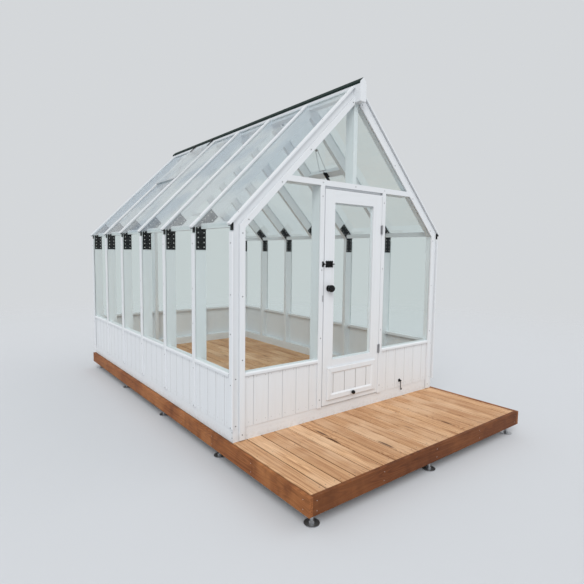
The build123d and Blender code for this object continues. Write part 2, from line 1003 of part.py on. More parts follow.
def door_beads():
    """Beads that hold the pane from the inside, mitred at the corners."""
    half = door_wide / 2 - stile_wide
    low = glass_low
    top = door_top - top_rail_high
    y0 = leaf_front + door_glass_back + glass_thick
    y1 = y0 + bead_deep
    w = bead_wide
    ring = box(-half, half, y0, y1, low, top) - box(-half + w, half - w, y0, y1, low + w, top - w)
    inner = ring.faces().sort_by(Axis.Y)[-1].inner_wires()[0]
    ring = chamfer(inner.edges(), bead_bevel)
    cut = 2 * w
    masks = [
        [(-half, low), (half, low), (half - cut, low + cut), (-half + cut, low + cut)],
        [(-half, top), (half, top), (half - cut, top - cut), (-half + cut, top - cut)],
        [(-half, low), (-half, top), (-half + cut, top - cut), (-half + cut, low + cut)],
        [(half, low), (half, top), (half - cut, top - cut), (half - cut, low + cut)],
    ]
    return [ring & across(mask, y0, y1) for mask in masks]


def hinge_axis():
    """The door hinges' axis, in the gap and in front of the leaf."""
    return door_wide / 2 + door_gap / 2, leaf_front - knuckle_radius - seat_gap


def hinge_half(z, leaf_side):
    """One half of a door hinge: its knuckles and flap, and the pin in the fixed half."""
    x, y = hinge_axis()
    step = (hinge_high + knuckle_gap) / knuckle_count
    bore = hinge_pin_radius + running_gap
    flap_y = leaf_front - seat_gap
    side = -1 if leaf_side else 1
    near = x + side * (knuckle_radius + knuckle_gap)
    far = x + side * flap_wide
    foot = z - hinge_high / 2
    solid = box(near, far, flap_y - flap_thick, flap_y, foot, foot + hinge_high)
    for k in range(1 if leaf_side else 0, knuckle_count, 2):
        low = foot + k * step
        high = step - knuckle_gap
        knuckle = Pos(x, y, low) * Cylinder(
            knuckle_radius, high, align=(Align.CENTER, Align.CENTER, Align.MIN)
        )
        neck = box(x, far, flap_y - flap_thick, flap_y, low, low + high)
        solid = solid + knuckle + neck
    hole = Pos(x, y, z) * Cylinder(bore, 2 * hinge_high)
    solid = solid - hole
    if not leaf_side:
        pin = Pos(x, y, z) * Cylinder(hinge_pin_radius, hinge_high)
        cap = Cylinder(knuckle_radius, flap_thick)
        ends = Pos(x, y, z + hinge_high / 2 + flap_thick / 2) * cap
        feet = Pos(x, y, z - hinge_high / 2 - flap_thick / 2) * cap
        solid = solid + pin + ends + feet
    return solid


def knob(y_sign):
    """Section of the round door knob, spun about its own axis."""
    neck = knob_neck_radius
    ball = knob_radius
    centre = knob_reach - ball
    angle = math.asin(neck / ball)
    start = centre - ball * math.cos(angle)
    profile = Line((0, seat_gap), (neck, seat_gap))
    profile += Line((neck, seat_gap), (neck, start))
    profile += ThreePointArc((neck, start), (ball, centre), (0, knob_reach))
    profile += Line((0, knob_reach), (0, seat_gap))
    solid = revolve(make_face(profile), Axis.Y)
    return solid if y_sign > 0 else mirror(solid, about=Plane.XZ)


def knob_x():
    """Middle of the door knob, in from the leaf's closing edge."""
    return -door_wide / 2 + knob_in


def door_knob():
    """Round knobs on both faces of the door, on one spindle."""
    outer = Pos(knob_x(), leaf_front - rose_thick, knob_height) * knob(-1)
    inner = Pos(knob_x(), leaf_back + rose_thick, knob_height) * knob(1)
    return [outer, inner]


def door_roses():
    """Round roses behind the knobs."""
    disc = Rot(90, 0, 0) * Cylinder(rose_radius, rose_thick)
    outer = Pos(knob_x(), leaf_front - rose_thick / 2, knob_height) * disc
    inner = Pos(knob_x(), leaf_back + rose_thick / 2, knob_height) * disc
    return [outer, inner]


def bolt_axis_y():
    """How far in front of the wall the bolt's rod runs."""
    return leaf_front - plate_thick - bolt_stand_off


def bolt_loop(x, y_back):
    """A loop round the rod, standing on its plate."""
    y = bolt_axis_y()
    outer = bolt_radius + loop_wall
    z = bolt_height
    block = box(x, x + loop_wide, y, y_back, z - outer, z + outer)
    ring = Pos(x, y, z) * Rot(0, 90, 0) * Cylinder(
        outer, loop_wide, align=(Align.CENTER, Align.CENTER, Align.MIN)
    )
    hole = Pos(x, y, z) * Rot(0, 90, 0) * Cylinder(bolt_radius + seat_gap, 4 * loop_wide)
    return (block + ring) - hole


def lobed_plate(x, z, wide, high, waist, lobes):
    """A plate on the door's face with a row of round lobes along its top and its foot."""
    radius = wide / lobes / 2
    outline = Rectangle(wide - 2 * waist, high - 2 * waist)
    for k in range(lobes):
        for end in (-1, 1):
            outline += Pos(-wide / 2 + radius * (2 * k + 1), end * (high / 2 - radius)) * Circle(radius)
    face = Plane(origin=(x, leaf_front, z), x_dir=(1, 0, 0), z_dir=(0, -1, 0))
    return face * extrude(outline, plate_thick)


def bolt_plate():
    """Plate of the bolt on the door, with two loops for the rod."""
    x0 = -door_wide / 2 + bolt_plate_in
    middle = x0 + bolt_plate_wide / 2
    back = leaf_front - plate_thick
    plate = lobed_plate(middle, bolt_height, bolt_plate_wide, bolt_plate_high, plate_waist, bolt_plate_lobes)
    return [plate + bolt_loop(x0 + plate_waist, back) + bolt_loop(far_loop_x(), back)]


def far_loop_x():
    """Near side of the loop that still holds the rod when the bolt is shot."""
    return -door_wide / 2 + bolt_plate_in + bolt_plate_wide - far_loop_in - loop_wide


def bolt_rod():
    """The bolt's rod with its finger knob, drawn back."""
    x0 = -door_wide / 2 + bolt_tip_in
    long = far_loop_x() + loop_wide / 2 + bolt_travel - x0
    y = bolt_axis_y()
    rod = Pos(x0, y, bolt_height) * Rot(0, 90, 0) * Cylinder(
        bolt_radius, long, align=(Align.CENTER, Align.CENTER, Align.MIN)
    )
    knob_at = far_loop_x() - bolt_knob_gap - bolt_stem_radius
    stem = Pos(knob_at, y, bolt_height) * Rot(90, 0, 0) * Cylinder(
        bolt_stem_radius, bolt_stem_long, align=(Align.CENTER, Align.CENTER, Align.MIN)
    )
    ball = Pos(knob_at, y - bolt_stem_long, bolt_height) * Sphere(bolt_ball_radius)
    return [rod + stem + ball]


def door_keep():
    """Keeper of the bolt, on the left jamb strip."""
    middle = -opening_half - keep_in - keep_wide / 2
    plate = lobed_plate(middle, bolt_height, keep_wide, keep_high, keep_waist, 1)
    return [plate + bolt_loop(middle - loop_wide / 2, strip_front - plate_thick)]


def strike_plate():
    """Striking plate of the lock, on the left jamb strip."""
    x1 = -opening_half - keep_in
    low = strike_height - strike_high / 2
    return [box(x1 - strike_wide, x1, strip_front - strike_thick, strip_front, low, low + strike_high)]


# Hatch in the door

def hatch():
    """Framed flap: moulded frame with mitred corners and a boarded panel."""
    half = hatch_wide / 2
    back = leaf_front - seat_gap
    front = back - hatch_thick
    body = box(-half, half, front, back, hatch_low, hatch_top)
    body = chamfer(body.faces().sort_by(Axis.Y)[0].edges(), strip_chamfer * 2)
    in_x = half - hatch_rail
    in_low = hatch_low + hatch_rail
    in_top = hatch_top - hatch_rail
    m = hatch_moulding
    middle_z = (in_low + in_top) / 2
    wide = Plane(origin=(0, front, middle_z), x_dir=(1, 0, 0), z_dir=(0, -1, 0))
    deep = wide.offset(-hatch_recess)
    outer = wide * Rectangle(2 * (in_x + m), in_top - in_low + 2 * m)
    inner = deep * Rectangle(2 * in_x, in_top - in_low)
    body = body - loft([outer.face(), inner.face()])
    floor_y = front + hatch_recess
    g = hatch_groove_half
    x = hatch_first_groove
    while x < in_x - g:
        section = [(x - 2 * g, floor_y - g), (x + 2 * g, floor_y - g), (x, floor_y + g)]
        body = body - upward(section, in_low, in_top)
        x += board_wide
    return [body]


def hatch_hinge():
    """Long narrow hinge along the hatch's top edge, its knuckle fixed to the door."""
    half = hatch_wide / 2 - hatch_rail
    y, z = hatch_axis()
    rod = Pos(-half, y, z) * Rot(0, 90, 0) * Cylinder(
        hatch_hinge_radius, 2 * half, align=(Align.CENTER, Align.CENTER, Align.MIN)
    )
    return [rod]


def hatch_axis():
    """Axis of the hatch's hinge: just above its top edge, on the door's face."""
    gap = hatch_hinge_radius + seat_gap
    return leaf_front - gap, hatch_top + gap


def hatch_knob():
    """Small round knob on the hatch's bottom rail."""
    neck = hatch_knob_neck
    ball = hatch_knob_ball
    reach = hatch_knob_reach
    centre = reach - ball
    start = centre - math.sqrt(ball * ball - neck * neck)
    profile = Line((0, 0), (neck, 0)) + Line((neck, 0), (neck, start))
    profile += ThreePointArc((neck, start), (ball, centre), (0, reach))
    profile += Line((0, reach), (0, 0))
    solid = mirror(revolve(make_face(profile), Axis.Y), about=Plane.XZ)
    return [Pos(0, leaf_front - seat_gap - hatch_thick, hatch_low + hatch_knob_up) * solid]


# Cabin hook

def hook_plate():
    """Round plate with a staple for the hook."""
    y0 = -glass_thick - plate_thick
    plate = Pos(hook_x, y0 + plate_thick / 2, hook_plate_z) * Rot(90, 0, 0) * Cylinder(
        hook_plate_radius, plate_thick
    )
    pin = Pos(hook_x, hook_axis_y(), hook_plate_z) * Rot(0, 90, 0) * Cylinder(
        hook_wire_radius, hook_ear_apart
    )
    staple = plate + pin
    rise = hook_ear_high / 2
    for side in (-1, 1):
        x = hook_x + side * hook_ear_apart / 2
        x0 = x - hook_ear_thick / 2
        ear = box(x0, x0 + hook_ear_thick, hook_axis_y(), y0, hook_plate_z - rise, hook_plate_z + rise)
        end = Pos(x, hook_axis_y(), hook_plate_z) * Rot(0, 90, 0) * Cylinder(rise, hook_ear_thick)
        staple = staple + ear + end
    return [staple]


def hook_axis_y():
    """How far in front of the boards the hook's pin lies."""
    return -glass_thick - hook_stand_off


def cabin_hook():
    """Hook of round rod that hangs from its pin, its end bent up to a small ball."""
    bore = hook_wire_radius + seat_gap
    y = hook_axis_y()
    ring = Cylinder(hook_ring_radius, hook_ring_wide) - Cylinder(bore, 2 * hook_ring_wide)
    eye = Pos(hook_x, y, hook_plate_z) * Rot(0, 90, 0) * ring
    top = hook_plate_z - (hook_ring_radius + bore) / 2
    low = hook_plate_z - hook_long
    turn = low + hook_bend
    tip_y = y - 2 * hook_bend
    path = Line((hook_x, y, top), (hook_x, y, turn))
    path += ThreePointArc((hook_x, y, turn), (hook_x, y - hook_bend, low), (hook_x, tip_y, turn))
    path += Line((hook_x, tip_y, turn), (hook_x, tip_y, turn + hook_tip_long))
    start = Plane(origin=(hook_x, y, top), x_dir=(1, 0, 0), z_dir=(0, 0, -1))
    rod = sweep(start * Circle(hook_shank_radius), path=path)
    ball = Pos(hook_x, tip_y, turn + hook_tip_long) * Sphere(hook_ball_radius)
    return [eye + rod + ball]


def main():
    """Build and write every sub-part."""
    save("deck_feet", deck_feet())
    save("deck_joists", deck_joists())
    save("deck_fascia_sides", deck_fascia_sides())
    save("deck_fascia_ends", deck_fascia_ends())
    save("deck_boards", deck_boards())
    save("base_sides", base_sides())
    save("base_ends", base_ends())
    save("side_posts", side_posts())
    left = rafters_left()
    save("rafters_left", left)
    save("rafters_right", mirrored(left))
    save("eaves_rails", eaves_rails())
    save("ridge_beam", ridge_beam())
    save("ridge_end_blocks", ridge_end_blocks())
    save("ridge_cap", ridge_cap())
    save("transoms", transoms())
    save("king_posts", king_posts())
    save("gable_studs", gable_studs())
    save("door_head", door_head())
    save("side_strips", side_strips())
    save("roof_bars", roof_bars())
    save("upright_strips", upright_strips())
    save("gable_strips", gable_strips())
    save("transom_strips", transom_strips())
    save("cladding_sides", cladding_sides())
    save("cladding_ends", cladding_ends())
    save("sills_sides", sills_sides())
    save("sills_ends", sills_ends())
    save("glass_sides", glass_sides())
    save("glass_ends", glass_ends())
    save("glass_roof", glass_roof())
    left_vent = vent_parts(left_vent_bay_count)
    right_vent = vent_parts(right_vent_bay_count)
    for name, solids in left_vent.items():
        save(name, solids + mirrored(right_vent[name]))
    save("knee_plates", knee_plates())
    save("roof_clips", roof_clips())
    save("door_stiles", door_stiles())
    save("door_rails", door_rails())
    save("door_glass", door_glass())
    save("door_beads", door_beads())
    save("door_hinge_flaps", [hinge_half(z, True) for z in (hinge_low_z, hinge_top_z)])
    save("door_hinge_pins", [hinge_half(z, False) for z in (hinge_low_z, hinge_top_z)])
    save("door_knob", door_knob())
    save("door_roses", door_roses())
    save("bolt_plate", bolt_plate())
    save("bolt_rod", bolt_rod())
    save("door_keep", door_keep())
    save("strike_plate", strike_plate())
    save("hatch", hatch())
    save("hatch_hinge", hatch_hinge())
    save("hatch_knob", hatch_knob())
    save("hook_plate", hook_plate())
    save("cabin_hook", cabin_hook())


main()
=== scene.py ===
"""Finishes of the glass greenhouse and the small pieces that dress it."""
import logging
import math
import random
from dataclasses import dataclass, field
from enum import Enum

import bmesh
import bpy
from mathutils import Matrix, Vector


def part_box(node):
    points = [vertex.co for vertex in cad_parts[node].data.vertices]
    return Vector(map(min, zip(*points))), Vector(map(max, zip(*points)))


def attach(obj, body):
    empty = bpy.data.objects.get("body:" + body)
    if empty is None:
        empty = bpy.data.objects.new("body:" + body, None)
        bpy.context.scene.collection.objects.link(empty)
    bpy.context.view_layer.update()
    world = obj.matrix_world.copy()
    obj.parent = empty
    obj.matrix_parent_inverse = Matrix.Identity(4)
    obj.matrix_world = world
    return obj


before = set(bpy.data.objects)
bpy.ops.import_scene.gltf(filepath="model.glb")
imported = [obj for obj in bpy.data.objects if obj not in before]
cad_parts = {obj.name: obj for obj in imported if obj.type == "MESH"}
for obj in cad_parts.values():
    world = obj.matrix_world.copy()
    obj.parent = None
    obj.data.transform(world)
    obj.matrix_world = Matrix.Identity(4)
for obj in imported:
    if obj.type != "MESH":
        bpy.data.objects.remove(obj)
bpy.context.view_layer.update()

log = logging.getLogger("greenhouse")

Triple = tuple[float, float, float]
Colour = Triple
MM = 0.001
UP = Vector((0, 0, 1))
SIDES = (-1.0, 1.0)
FRONT = (0, -1, 0)
BACK = (0, 1, 0)


def even(fine: float) -> Triple:
    """Return a pattern's scale that is the same each way."""
    return (fine, fine, fine)


class Wire:
    """A shader socket that takes part in Python expressions, which add Math nodes."""

    def __init__(self, bench: "Bench", socket: bpy.types.NodeSocket) -> None:
        """Keep the socket and the bench that it belongs to."""
        self.bench = bench
        self.socket = socket

    def math(self, operation: str, *others: "Wire | float") -> "Wire":
        """Add a Math node whose first value is this socket.

        Args:
            operation: The Math node's operation.
            others: Its second and third values.

        Returns:
            The node's result.
        """
        values = {k + 1: other for k, other in enumerate(others)}
        return self.bench.add("ShaderNodeMath", {"operation": operation}, {0: self, **values})

    def reflected(self, operation: str, first: float) -> "Wire":
        """Add a Math node whose second value is this socket."""
        return self.bench.add("ShaderNodeMath", {"operation": operation}, {0: first, 1: self})

    def __add__(self, other: "Wire | float") -> "Wire":
        """Sum."""
        return self.math("ADD", other)

    def __radd__(self, other: float) -> "Wire":
        """Sum with a number on the left."""
        return self.math("ADD", other)

    def __sub__(self, other: "Wire | float") -> "Wire":
        """Difference."""
        return self.math("SUBTRACT", other)

    def __rsub__(self, other: float) -> "Wire":
        """A number less this value."""
        return self.reflected("SUBTRACT", other)

    def __mul__(self, other: "Wire | float") -> "Wire":
        """Product."""
        return self.math("MULTIPLY", other)

    def __rmul__(self, other: float) -> "Wire":
        """Product with a number on the left."""
        return self.math("MULTIPLY", other)

    def __truediv__(self, other: "Wire | float") -> "Wire":
        """Quotient."""
        return self.math("DIVIDE", other)

    def __pow__(self, other: float) -> "Wire":
        """Power."""
        return self.math("POWER", other)

    def __abs__(self) -> "Wire":
        """Size without its sign."""
        return self.math("ABSOLUTE")

    def smooth(self, low: float, high: float) -> "Wire":
        """Rise from 0 to 1 between two values, or fall where low is the larger."""
        inputs = {"Value": self, "From Min": low, "From Max": high}
        return self.bench.add("ShaderNodeMapRange", {"interpolation_type": "SMOOTHSTEP"}, inputs)


class Bench:
    """Lays out one material's or the world's nodes."""

    def __init__(self, tree: bpy.types.NodeTree) -> None:
        """Empty the tree and keep it."""
        tree.nodes.clear()
        self.tree = tree

    def add(self, kind: str, settings: dict, inputs: dict, output: int | str = 0) -> Wire:
        """Add a node, its settings first, then the values or links of its sockets.

        Args:
            kind: The node's type.
            settings: Its own properties.
            inputs: Socket names or numbers, with a number, colour, vector or Wire each.
            output: Which result to return.

        Returns:
            The chosen result.
        """
        node = self.tree.nodes.new(kind)
        for key, value in settings.items():
            setattr(node, key, value)
        for key, value in inputs.items():
            socket = node.inputs[key]
            if isinstance(value, Wire):
                self.tree.links.new(value.socket, socket)
            elif socket.type == "RGBA":
                socket.default_value = (*value, 1.0)
            else:
                socket.default_value = value
        return Wire(self, node.outputs[output])

    def split(self, point: Wire) -> tuple[Wire, Wire, Wire]:
        """Return a vector's three values."""
        return tuple(self.add("ShaderNodeSeparateXYZ", {}, {0: point}, k) for k in range(3))

    def axes(self) -> tuple[Wire, Wire, Wire]:
        """Return X, Y and Z of the surface point, in metres."""
        return self.split(self.add("ShaderNodeTexCoord", {}, {}, "Object"))

    def vector(self, *values: Wire | float) -> Wire:
        """Join three values into a vector."""
        return self.add("ShaderNodeCombineXYZ", {}, dict(enumerate(values)))

    def chance(self, number: Wire) -> Wire:
        """Return a fixed random value from 0 to 1 for a whole number."""
        return self.add("ShaderNodeTexWhiteNoise", {"noise_dimensions": "1D"}, {"W": number})

    def spots(self, point: Wire, scale: float = 1.0) -> Wire:
        """Return the distance to the nearest of many scattered spots."""
        inputs = {"Vector": point, "Scale": scale}
        return self.add("ShaderNodeTexVoronoi", {"feature": "F1"}, inputs, "Distance")

    def mix(self, share: Wire | float, first: Wire | Colour, second: Wire | Colour) -> Wire:
        """Blend two colours, where the share says how much of the second shows."""
        return self.add("ShaderNodeMix", {"data_type": "RGBA"}, {0: share, 6: first, 7: second}, 2)

    def bump(self, height: Wire, depth: float, strength: float) -> Wire:
        """Return a normal that follows a height, where a height of 1 is a depth in metres."""
        return self.add("ShaderNodeBump", {}, {"Height": height, "Distance": depth, "Strength": strength})

    def shine(self, inputs: dict) -> Wire:
        """Add the standard surface shader with these inputs."""
        return self.add("ShaderNodeBsdfPrincipled", {}, inputs)

    def blend(self, share: Wire | float, first: Wire, second: Wire) -> Wire:
        """Mix two surface shaders."""
        return self.add("ShaderNodeMixShader", {}, {0: share, 1: first, 2: second})

    def close(self, surface: Wire, kind: str = "ShaderNodeOutputMaterial") -> None:
        """Send a shader to the output node, which is added."""
        node = self.tree.nodes.new(kind)
        self.tree.links.new(surface.socket, node.inputs["Surface"])


@dataclass(frozen=True)
class Mottle:
    """A noise pattern: how fine it is each way, how rough, and between which values it shows."""

    scale: Triple
    detail: float = 3.0
    rough: float = 0.55
    low: float = 0.0
    high: float = 1.0

    def value(self, bench: Bench, *place: Wire) -> Wire:
        """Return the noise, from 0 to 1, at a place that three values give.

        Args:
            bench: Where its nodes go.
            place: The three values, in metres.

        Returns:
            The noise.
        """
        point = bench.vector(*(each * fine for each, fine in zip(place, self.scale)))
        inputs = {"Vector": point, "Scale": 1.0, "Detail": self.detail, "Roughness": self.rough}
        return bench.add("ShaderNodeTexNoise", {}, inputs)

    def peaks(self, value: Wire) -> Wire:
        """Return how much a value of the noise shows, from 0 to 1."""
        return value.smooth(self.low, self.high)

    def patches(self, bench: Bench, *place: Wire) -> Wire:
        """Return how much the noise shows at a place, from 0 to 1."""
        return self.peaks(self.value(bench, *place))


class Grain(Enum):
    """Which way a timber's grain runs."""

    UPRIGHT = "upright"
    ALONG = "along the house"
    ACROSS = "across the house"
    PITCHED = "up the roof"


@dataclass(frozen=True)
class Finish:
    """A surface finish, made into a material the first time it is asked for."""

    name: str
    rough: float = 0.5
    rough_range: float = 0.0
    sheen: float = 0.5
    depth: float = 0.0
    strength: float = 1.0

    def material(self) -> bpy.types.Material:
        """Return this finish's material.

        Returns:
            The material, the same one each time.
        """
        found = bpy.data.materials.get(self.name)
        if found is None:
            found = bpy.data.materials.new(self.name)
            found.use_nodes = True
            self.lay(Bench(found.node_tree))
        return found

    def lay(self, bench: Bench) -> None:
        """Lay the finish's nodes on the bench."""
        raise NotImplementedError

    def coat(self, bench: Bench, tone: Wire, marks: Wire, relief: Wire, metal: Wire | float = 0.0) -> None:
        """Cover the surface, which is rougher where it is marked.

        Args:
            bench: Where the nodes go.
            tone: Its colour.
            marks: How marked it is, from 0 to 1.
            relief: Its height, where a height of 1 is the finish's depth.
            metal: How metallic it is.
        """
        inputs = {
            "Base Color": tone,
            "Metallic": metal,
            "Specular IOR Level": self.sheen,
            "Roughness": self.rough + self.rough_range * marks,
            "Normal": bench.bump(relief, self.depth, self.strength),
        }
        bench.close(bench.shine(inputs))

    def dress(self, *nodes: str) -> None:
        """Put this finish on parts of the frame."""
        for place in (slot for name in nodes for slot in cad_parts[name].material_slots):
            place.material = self.material()


@dataclass(frozen=True)
class PaintedTimber(Finish):
    """White painted softwood whose grain shows faintly through the paint."""

    grain: Grain = Grain.UPRIGHT
    colour: Colour = (0.70, 0.725, 0.75)
    thin_paint: Colour = (0.64, 0.655, 0.66)
    thick_paint: Colour = (0.74, 0.75, 0.755)
    splash: Colour = (0.46, 0.43, 0.38)
    # Colour of the dark lines: painted shade and dirt in grooves, dirt in the hatch's mitres.
    line: Colour = (0.25, 0.245, 0.235)
    foot: float = 0.21
    splash_high: float = 0.10
    streaks: Mottle = Mottle((46.0, 46.0, 2.4), 5.0, 0.6, 0.42, 0.78)
    streak_share: float = 0.45
    fibres: Mottle = Mottle((420.0, 420.0, 9.0))
    fibre_share: float = 0.25
    clouds: Mottle = Mottle(even(1.7), low=0.35, high=0.7)
    cloud_share: float = 0.22
    specks: Mottle = Mottle(even(34.0), 4.0, 0.7, 0.42, 0.75)
    speck_share: float = 0.45
    rough: float = 0.36
    rough_range: float = 0.22
    depth: float = 0.5 * MM
    strength: float = 0.7

    def lines(self, bench: Bench) -> Wire | None:
        """Return how dark the painted shade and dirt in the boards' grooves and the hatch's mitres are,
        where the finish draws any.
        """
        return None

    def run(self, bench: Bench) -> tuple[Wire, Wire, Wire]:
        """Find the grain's own axes.

        Args:
            bench: Where the nodes go.

        Returns:
            Two values across the grain and one along it, in metres.
        """
        x, y, z = bench.axes()
        half = math.sqrt(0.5)
        if self.grain is Grain.ALONG:
            return x, z, y
        if self.grain is Grain.ACROSS:
            return y, z, x
        if self.grain is Grain.PITCHED:
            return (z + abs(x)) * half, y, (z - abs(x)) * half
        return x, y, z

    def lay(self, bench: Bench) -> None:
        """Lay the paint's nodes.

        Args:
            bench: Where they go.
        """
        place = self.run(bench)
        streaks = self.streaks.value(bench, *place)
        fibres = self.fibres.value(bench, *place)
        tone = bench.mix(self.streaks.peaks(streaks) * self.streak_share, self.colour, self.thin_paint)
        clouds = self.clouds.patches(bench, *place) * self.cloud_share
        tone = bench.mix(clouds, tone, self.thick_paint)
        # Darken the grooves with painted shade and dirt, where the finish draws any.
        shade_and_dirt_lines = self.lines(bench)
        if shade_and_dirt_lines is not None:
            tone = bench.mix(shade_and_dirt_lines, tone, self.line)
        low = bench.axes()[2].smooth(self.foot + self.splash_high, self.foot)
        specks = low * self.specks.patches(bench, *place)
        tone = bench.mix(specks * self.speck_share, tone, self.splash)
        relief = streaks * (1.0 - self.fibre_share) + fibres * self.fibre_share
        self.coat(bench, tone, streaks, relief)


@dataclass(frozen=True)
class BoardPaint(PaintedTimber):
    """Painted boards with painted shade and dirt in the grooves between them."""

    share: float = 0.40
    square: float = 0.97
    slanted: float = 0.80

    def lines(self, bench: Bench) -> Wire:
        """Find the boards' bevelled edges by the way that they face.

        Args:
            bench: Where the nodes go.

        Returns:
            How dark the edges are.
        """
        # Painted shade and dirt: the grooves' slanted faces are darkened by the way that they face.
        x, y, _ = bench.split(bench.add("ShaderNodeNewGeometry", {}, {}, "True Normal"))
        facing = abs(x).math("MAXIMUM", abs(y))
        return facing.smooth(self.square, self.slanted) * self.share


@dataclass(frozen=True)
class HatchPaint(PaintedTimber):
    """Painted hatch with painted shade and dirt in its panel's grooves, and dirt in the frame's mitres."""

    first_groove: float = -0.092
    pitch: float = 0.138
    panel_half: float = 0.247
    panel_high: float = 0.088
    middle: float = 0.507
    groove_half: float = 3.0 * MM
    groove_edge: tuple[float, float] = (1.6, 0.5)
    groove_share: float = 0.85
    mitre_half: float = 1.0 * MM
    mitre_edge: tuple[float, float] = (1.5, 0.4)
    mitre_share: float = 0.55

    def lines(self, bench: Bench) -> Wire:
        """Draw the panel's grooves and the frame's mitres by their places.

        Args:
            bench: Where the nodes go.

        Returns:
            How dark they are.
        """
        x, _, z = bench.axes()
        count = (x - self.first_groove) / self.pitch
        off_groove = abs(count - count.math("ROUND")) * self.pitch
        beside = abs(x) - self.panel_half
        above = abs(z - self.middle) - self.panel_high
        outside = beside.math("MAXIMUM", above)
        # The grooves' dark lines are painted shade and dirt; the mitres' lines are dirt in the joints.
        grooves = off_groove.smooth(*(self.groove_half * share for share in self.groove_edge))
        grooves = grooves * outside.smooth(0.0, -self.groove_half) * self.groove_share
        mitres = abs(beside - above).smooth(*(self.mitre_half * share for share in self.mitre_edge))
        mitres = mitres * outside.smooth(0.0, self.mitre_half) * self.mitre_share
        return grooves.math("MAXIMUM", mitres)


class Face(Enum):
    """Which way a deck timber lies."""

    BOARDS = "boards with their broad side up"
    SIDE = "boards on edge along the house"
    END = "boards on edge across the house"


@dataclass(frozen=True)
class DeckPine(Finish):
    """Oiled pine with rings, knots and a tone of its own on each board.

    A board's number draws its luck, which slides the grain along, tints the board and says how deep the
    tree's heart lies under it. A second draw says how far aside the heart lies.
    """

    face: Face = Face.BOARDS
    pitch: float = 0.127
    first: float = -1.225
    pale: Colour = (0.77, 0.48, 0.265)
    deep: Colour = (0.29, 0.118, 0.045)
    worn: Colour = (0.79, 0.56, 0.37)
    knot: Colour = (0.060, 0.022, 0.010)
    # Painted shade colour for the boards' sides, where the boards part.
    gap_shade: Colour = (0.022, 0.014, 0.010)
    top: float = 0.21
    gap_shade_edge: tuple[float, float] = (2.0 * MM, 9.0 * MM)
    gap_shade_share: float = 0.92
    edge_numbers: tuple[float, float] = (3.0, 40.0)
    edge_middle: float = 0.15
    second_draw: float = 91.0
    shift: float = 37.0
    ring: float = 5.2 * MM
    ring_edge: tuple[float, float] = (0.35, 1.0)
    ring_share: float = 0.52
    sway: Mottle = Mottle((5.0, 1.1, 9.0), 2.0)
    sway_wide: float = 0.055
    sway_deep: float = 0.06
    heart_wide: float = 0.16
    heart_deep: tuple[float, float] = (0.05, 0.012)
    knot_spread: Triple = (9.0, 1.35, 0.37)
    knot_reach: float = 0.34
    knot_swell: float = 0.022
    knot_edge: tuple[float, float] = (0.150, 0.070)
    knot_share: float = 0.85
    streaks: Mottle = Mottle((70.0, 70.0, 1.6), 4.0, 0.62, 0.44, 0.70)
    streak_share: float = 0.70
    fibres: Mottle = Mottle((240.0, 240.0, 4.0), low=0.48, high=0.70)
    fibre_share: float = 0.45
    luck_share: float = 0.42
    clouds: Mottle = Mottle(even(2.2), low=0.42, high=0.70)
    cloud_share: float = 0.45
    stains: Mottle = Mottle((3.0, 1.0, 6.0), 4.0, 0.6, 0.46, 0.68)
    stain_share: float = 0.0
    rough: float = 0.50
    rough_range: float = 0.24
    sheen: float = 0.22
    relief: Triple = (0.5, 0.3, 0.2)
    depth: float = 0.6 * MM
    strength: float = 0.8

    def run(self, bench: Bench) -> tuple[Wire, Wire, Wire]:
        """Find a board's own axes.

        Args:
            bench: Where the nodes go.

        Returns:
            The values across a board, through it and along it, in metres.
        """
        x, y, z = bench.axes()
        if self.face is Face.SIDE:
            return z, x, y
        if self.face is Face.END:
            return z, y, x
        return x, z, y

    def plank(self, across: Wire, depth: Wire) -> tuple[Wire, Wire]:
        """Tell the boards apart.

        Args:
            across: Place across the boards.
            depth: Place through them.

        Returns:
            A number for the board, and the place across it from its middle.
        """
        if self.face is Face.BOARDS:
            number = ((across - self.first) / self.pitch).math("FLOOR")
            return number, across - ((number + 0.5) * self.pitch + self.first)
        apart, start = self.edge_numbers
        return depth.math("SIGN") * apart + start, across - self.edge_middle

    def lay(self, bench: Bench) -> None:
        """Lay the timber's nodes.

        Args:
            bench: Where they go.
        """
        across, depth, along = self.run(bench)
        number, centre = self.plank(across, depth)
        luck = bench.chance(number)
        other_luck = bench.chance(number + self.second_draw)
        shifted = along + luck * self.shift
        place = (across, depth, shifted)
        sway = self.sway.value(bench, centre, shifted, other_luck) - 0.5
        cell = zip((centre, shifted, number), self.knot_spread)
        spot = bench.spots(bench.vector(*(value * fine for value, fine in cell)))
        lateral = centre - (other_luck - 0.5) * self.heart_wide + sway * self.sway_wide
        under = luck * self.heart_deep[0] + self.heart_deep[1] + sway * self.sway_deep
        radius = (lateral * lateral + under * under).math("SQRT")
        radius = radius + spot.smooth(self.knot_reach, 0.0) * self.knot_swell
        wave = (radius / self.ring * math.tau).math("SINE") * 0.5 + 0.5
        rings = wave.smooth(*self.ring_edge)
        fibres = self.fibres.value(bench, *place)
        streaks = self.streaks.value(bench, *place)
        tone = bench.mix(rings * self.ring_share, self.pale, self.deep)
        tone = bench.mix(self.streaks.peaks(streaks) * self.streak_share, tone, self.deep)
        tone = bench.mix(self.fibres.peaks(fibres) * self.fibre_share, tone, self.deep)
        tone = bench.mix(luck * self.luck_share, tone, self.deep)
        tone = bench.mix(self.clouds.patches(bench, *place) * self.cloud_share, tone, self.worn)
        if self.stain_share:
            tone = bench.mix(self.stains.patches(bench, *place) * self.stain_share, tone, self.deep)
        core = spot.smooth(*self.knot_edge)
        tone = bench.mix(core * self.knot_share, tone, self.knot)
        # Painted shade on the boards' sides below their tops, where the boards part.
        if self.face is Face.BOARDS:
            sunk = depth.smooth(*(self.top - down for down in self.gap_shade_edge))
            tone = bench.mix(sunk * self.gap_shade_share, tone, self.gap_shade)
        by_ring, by_fibre, by_knot = self.relief
        relief = (1.0 - rings) * by_ring + fibres * by_fibre + (1.0 - core) * by_knot
        self.coat(bench, tone, streaks, relief)


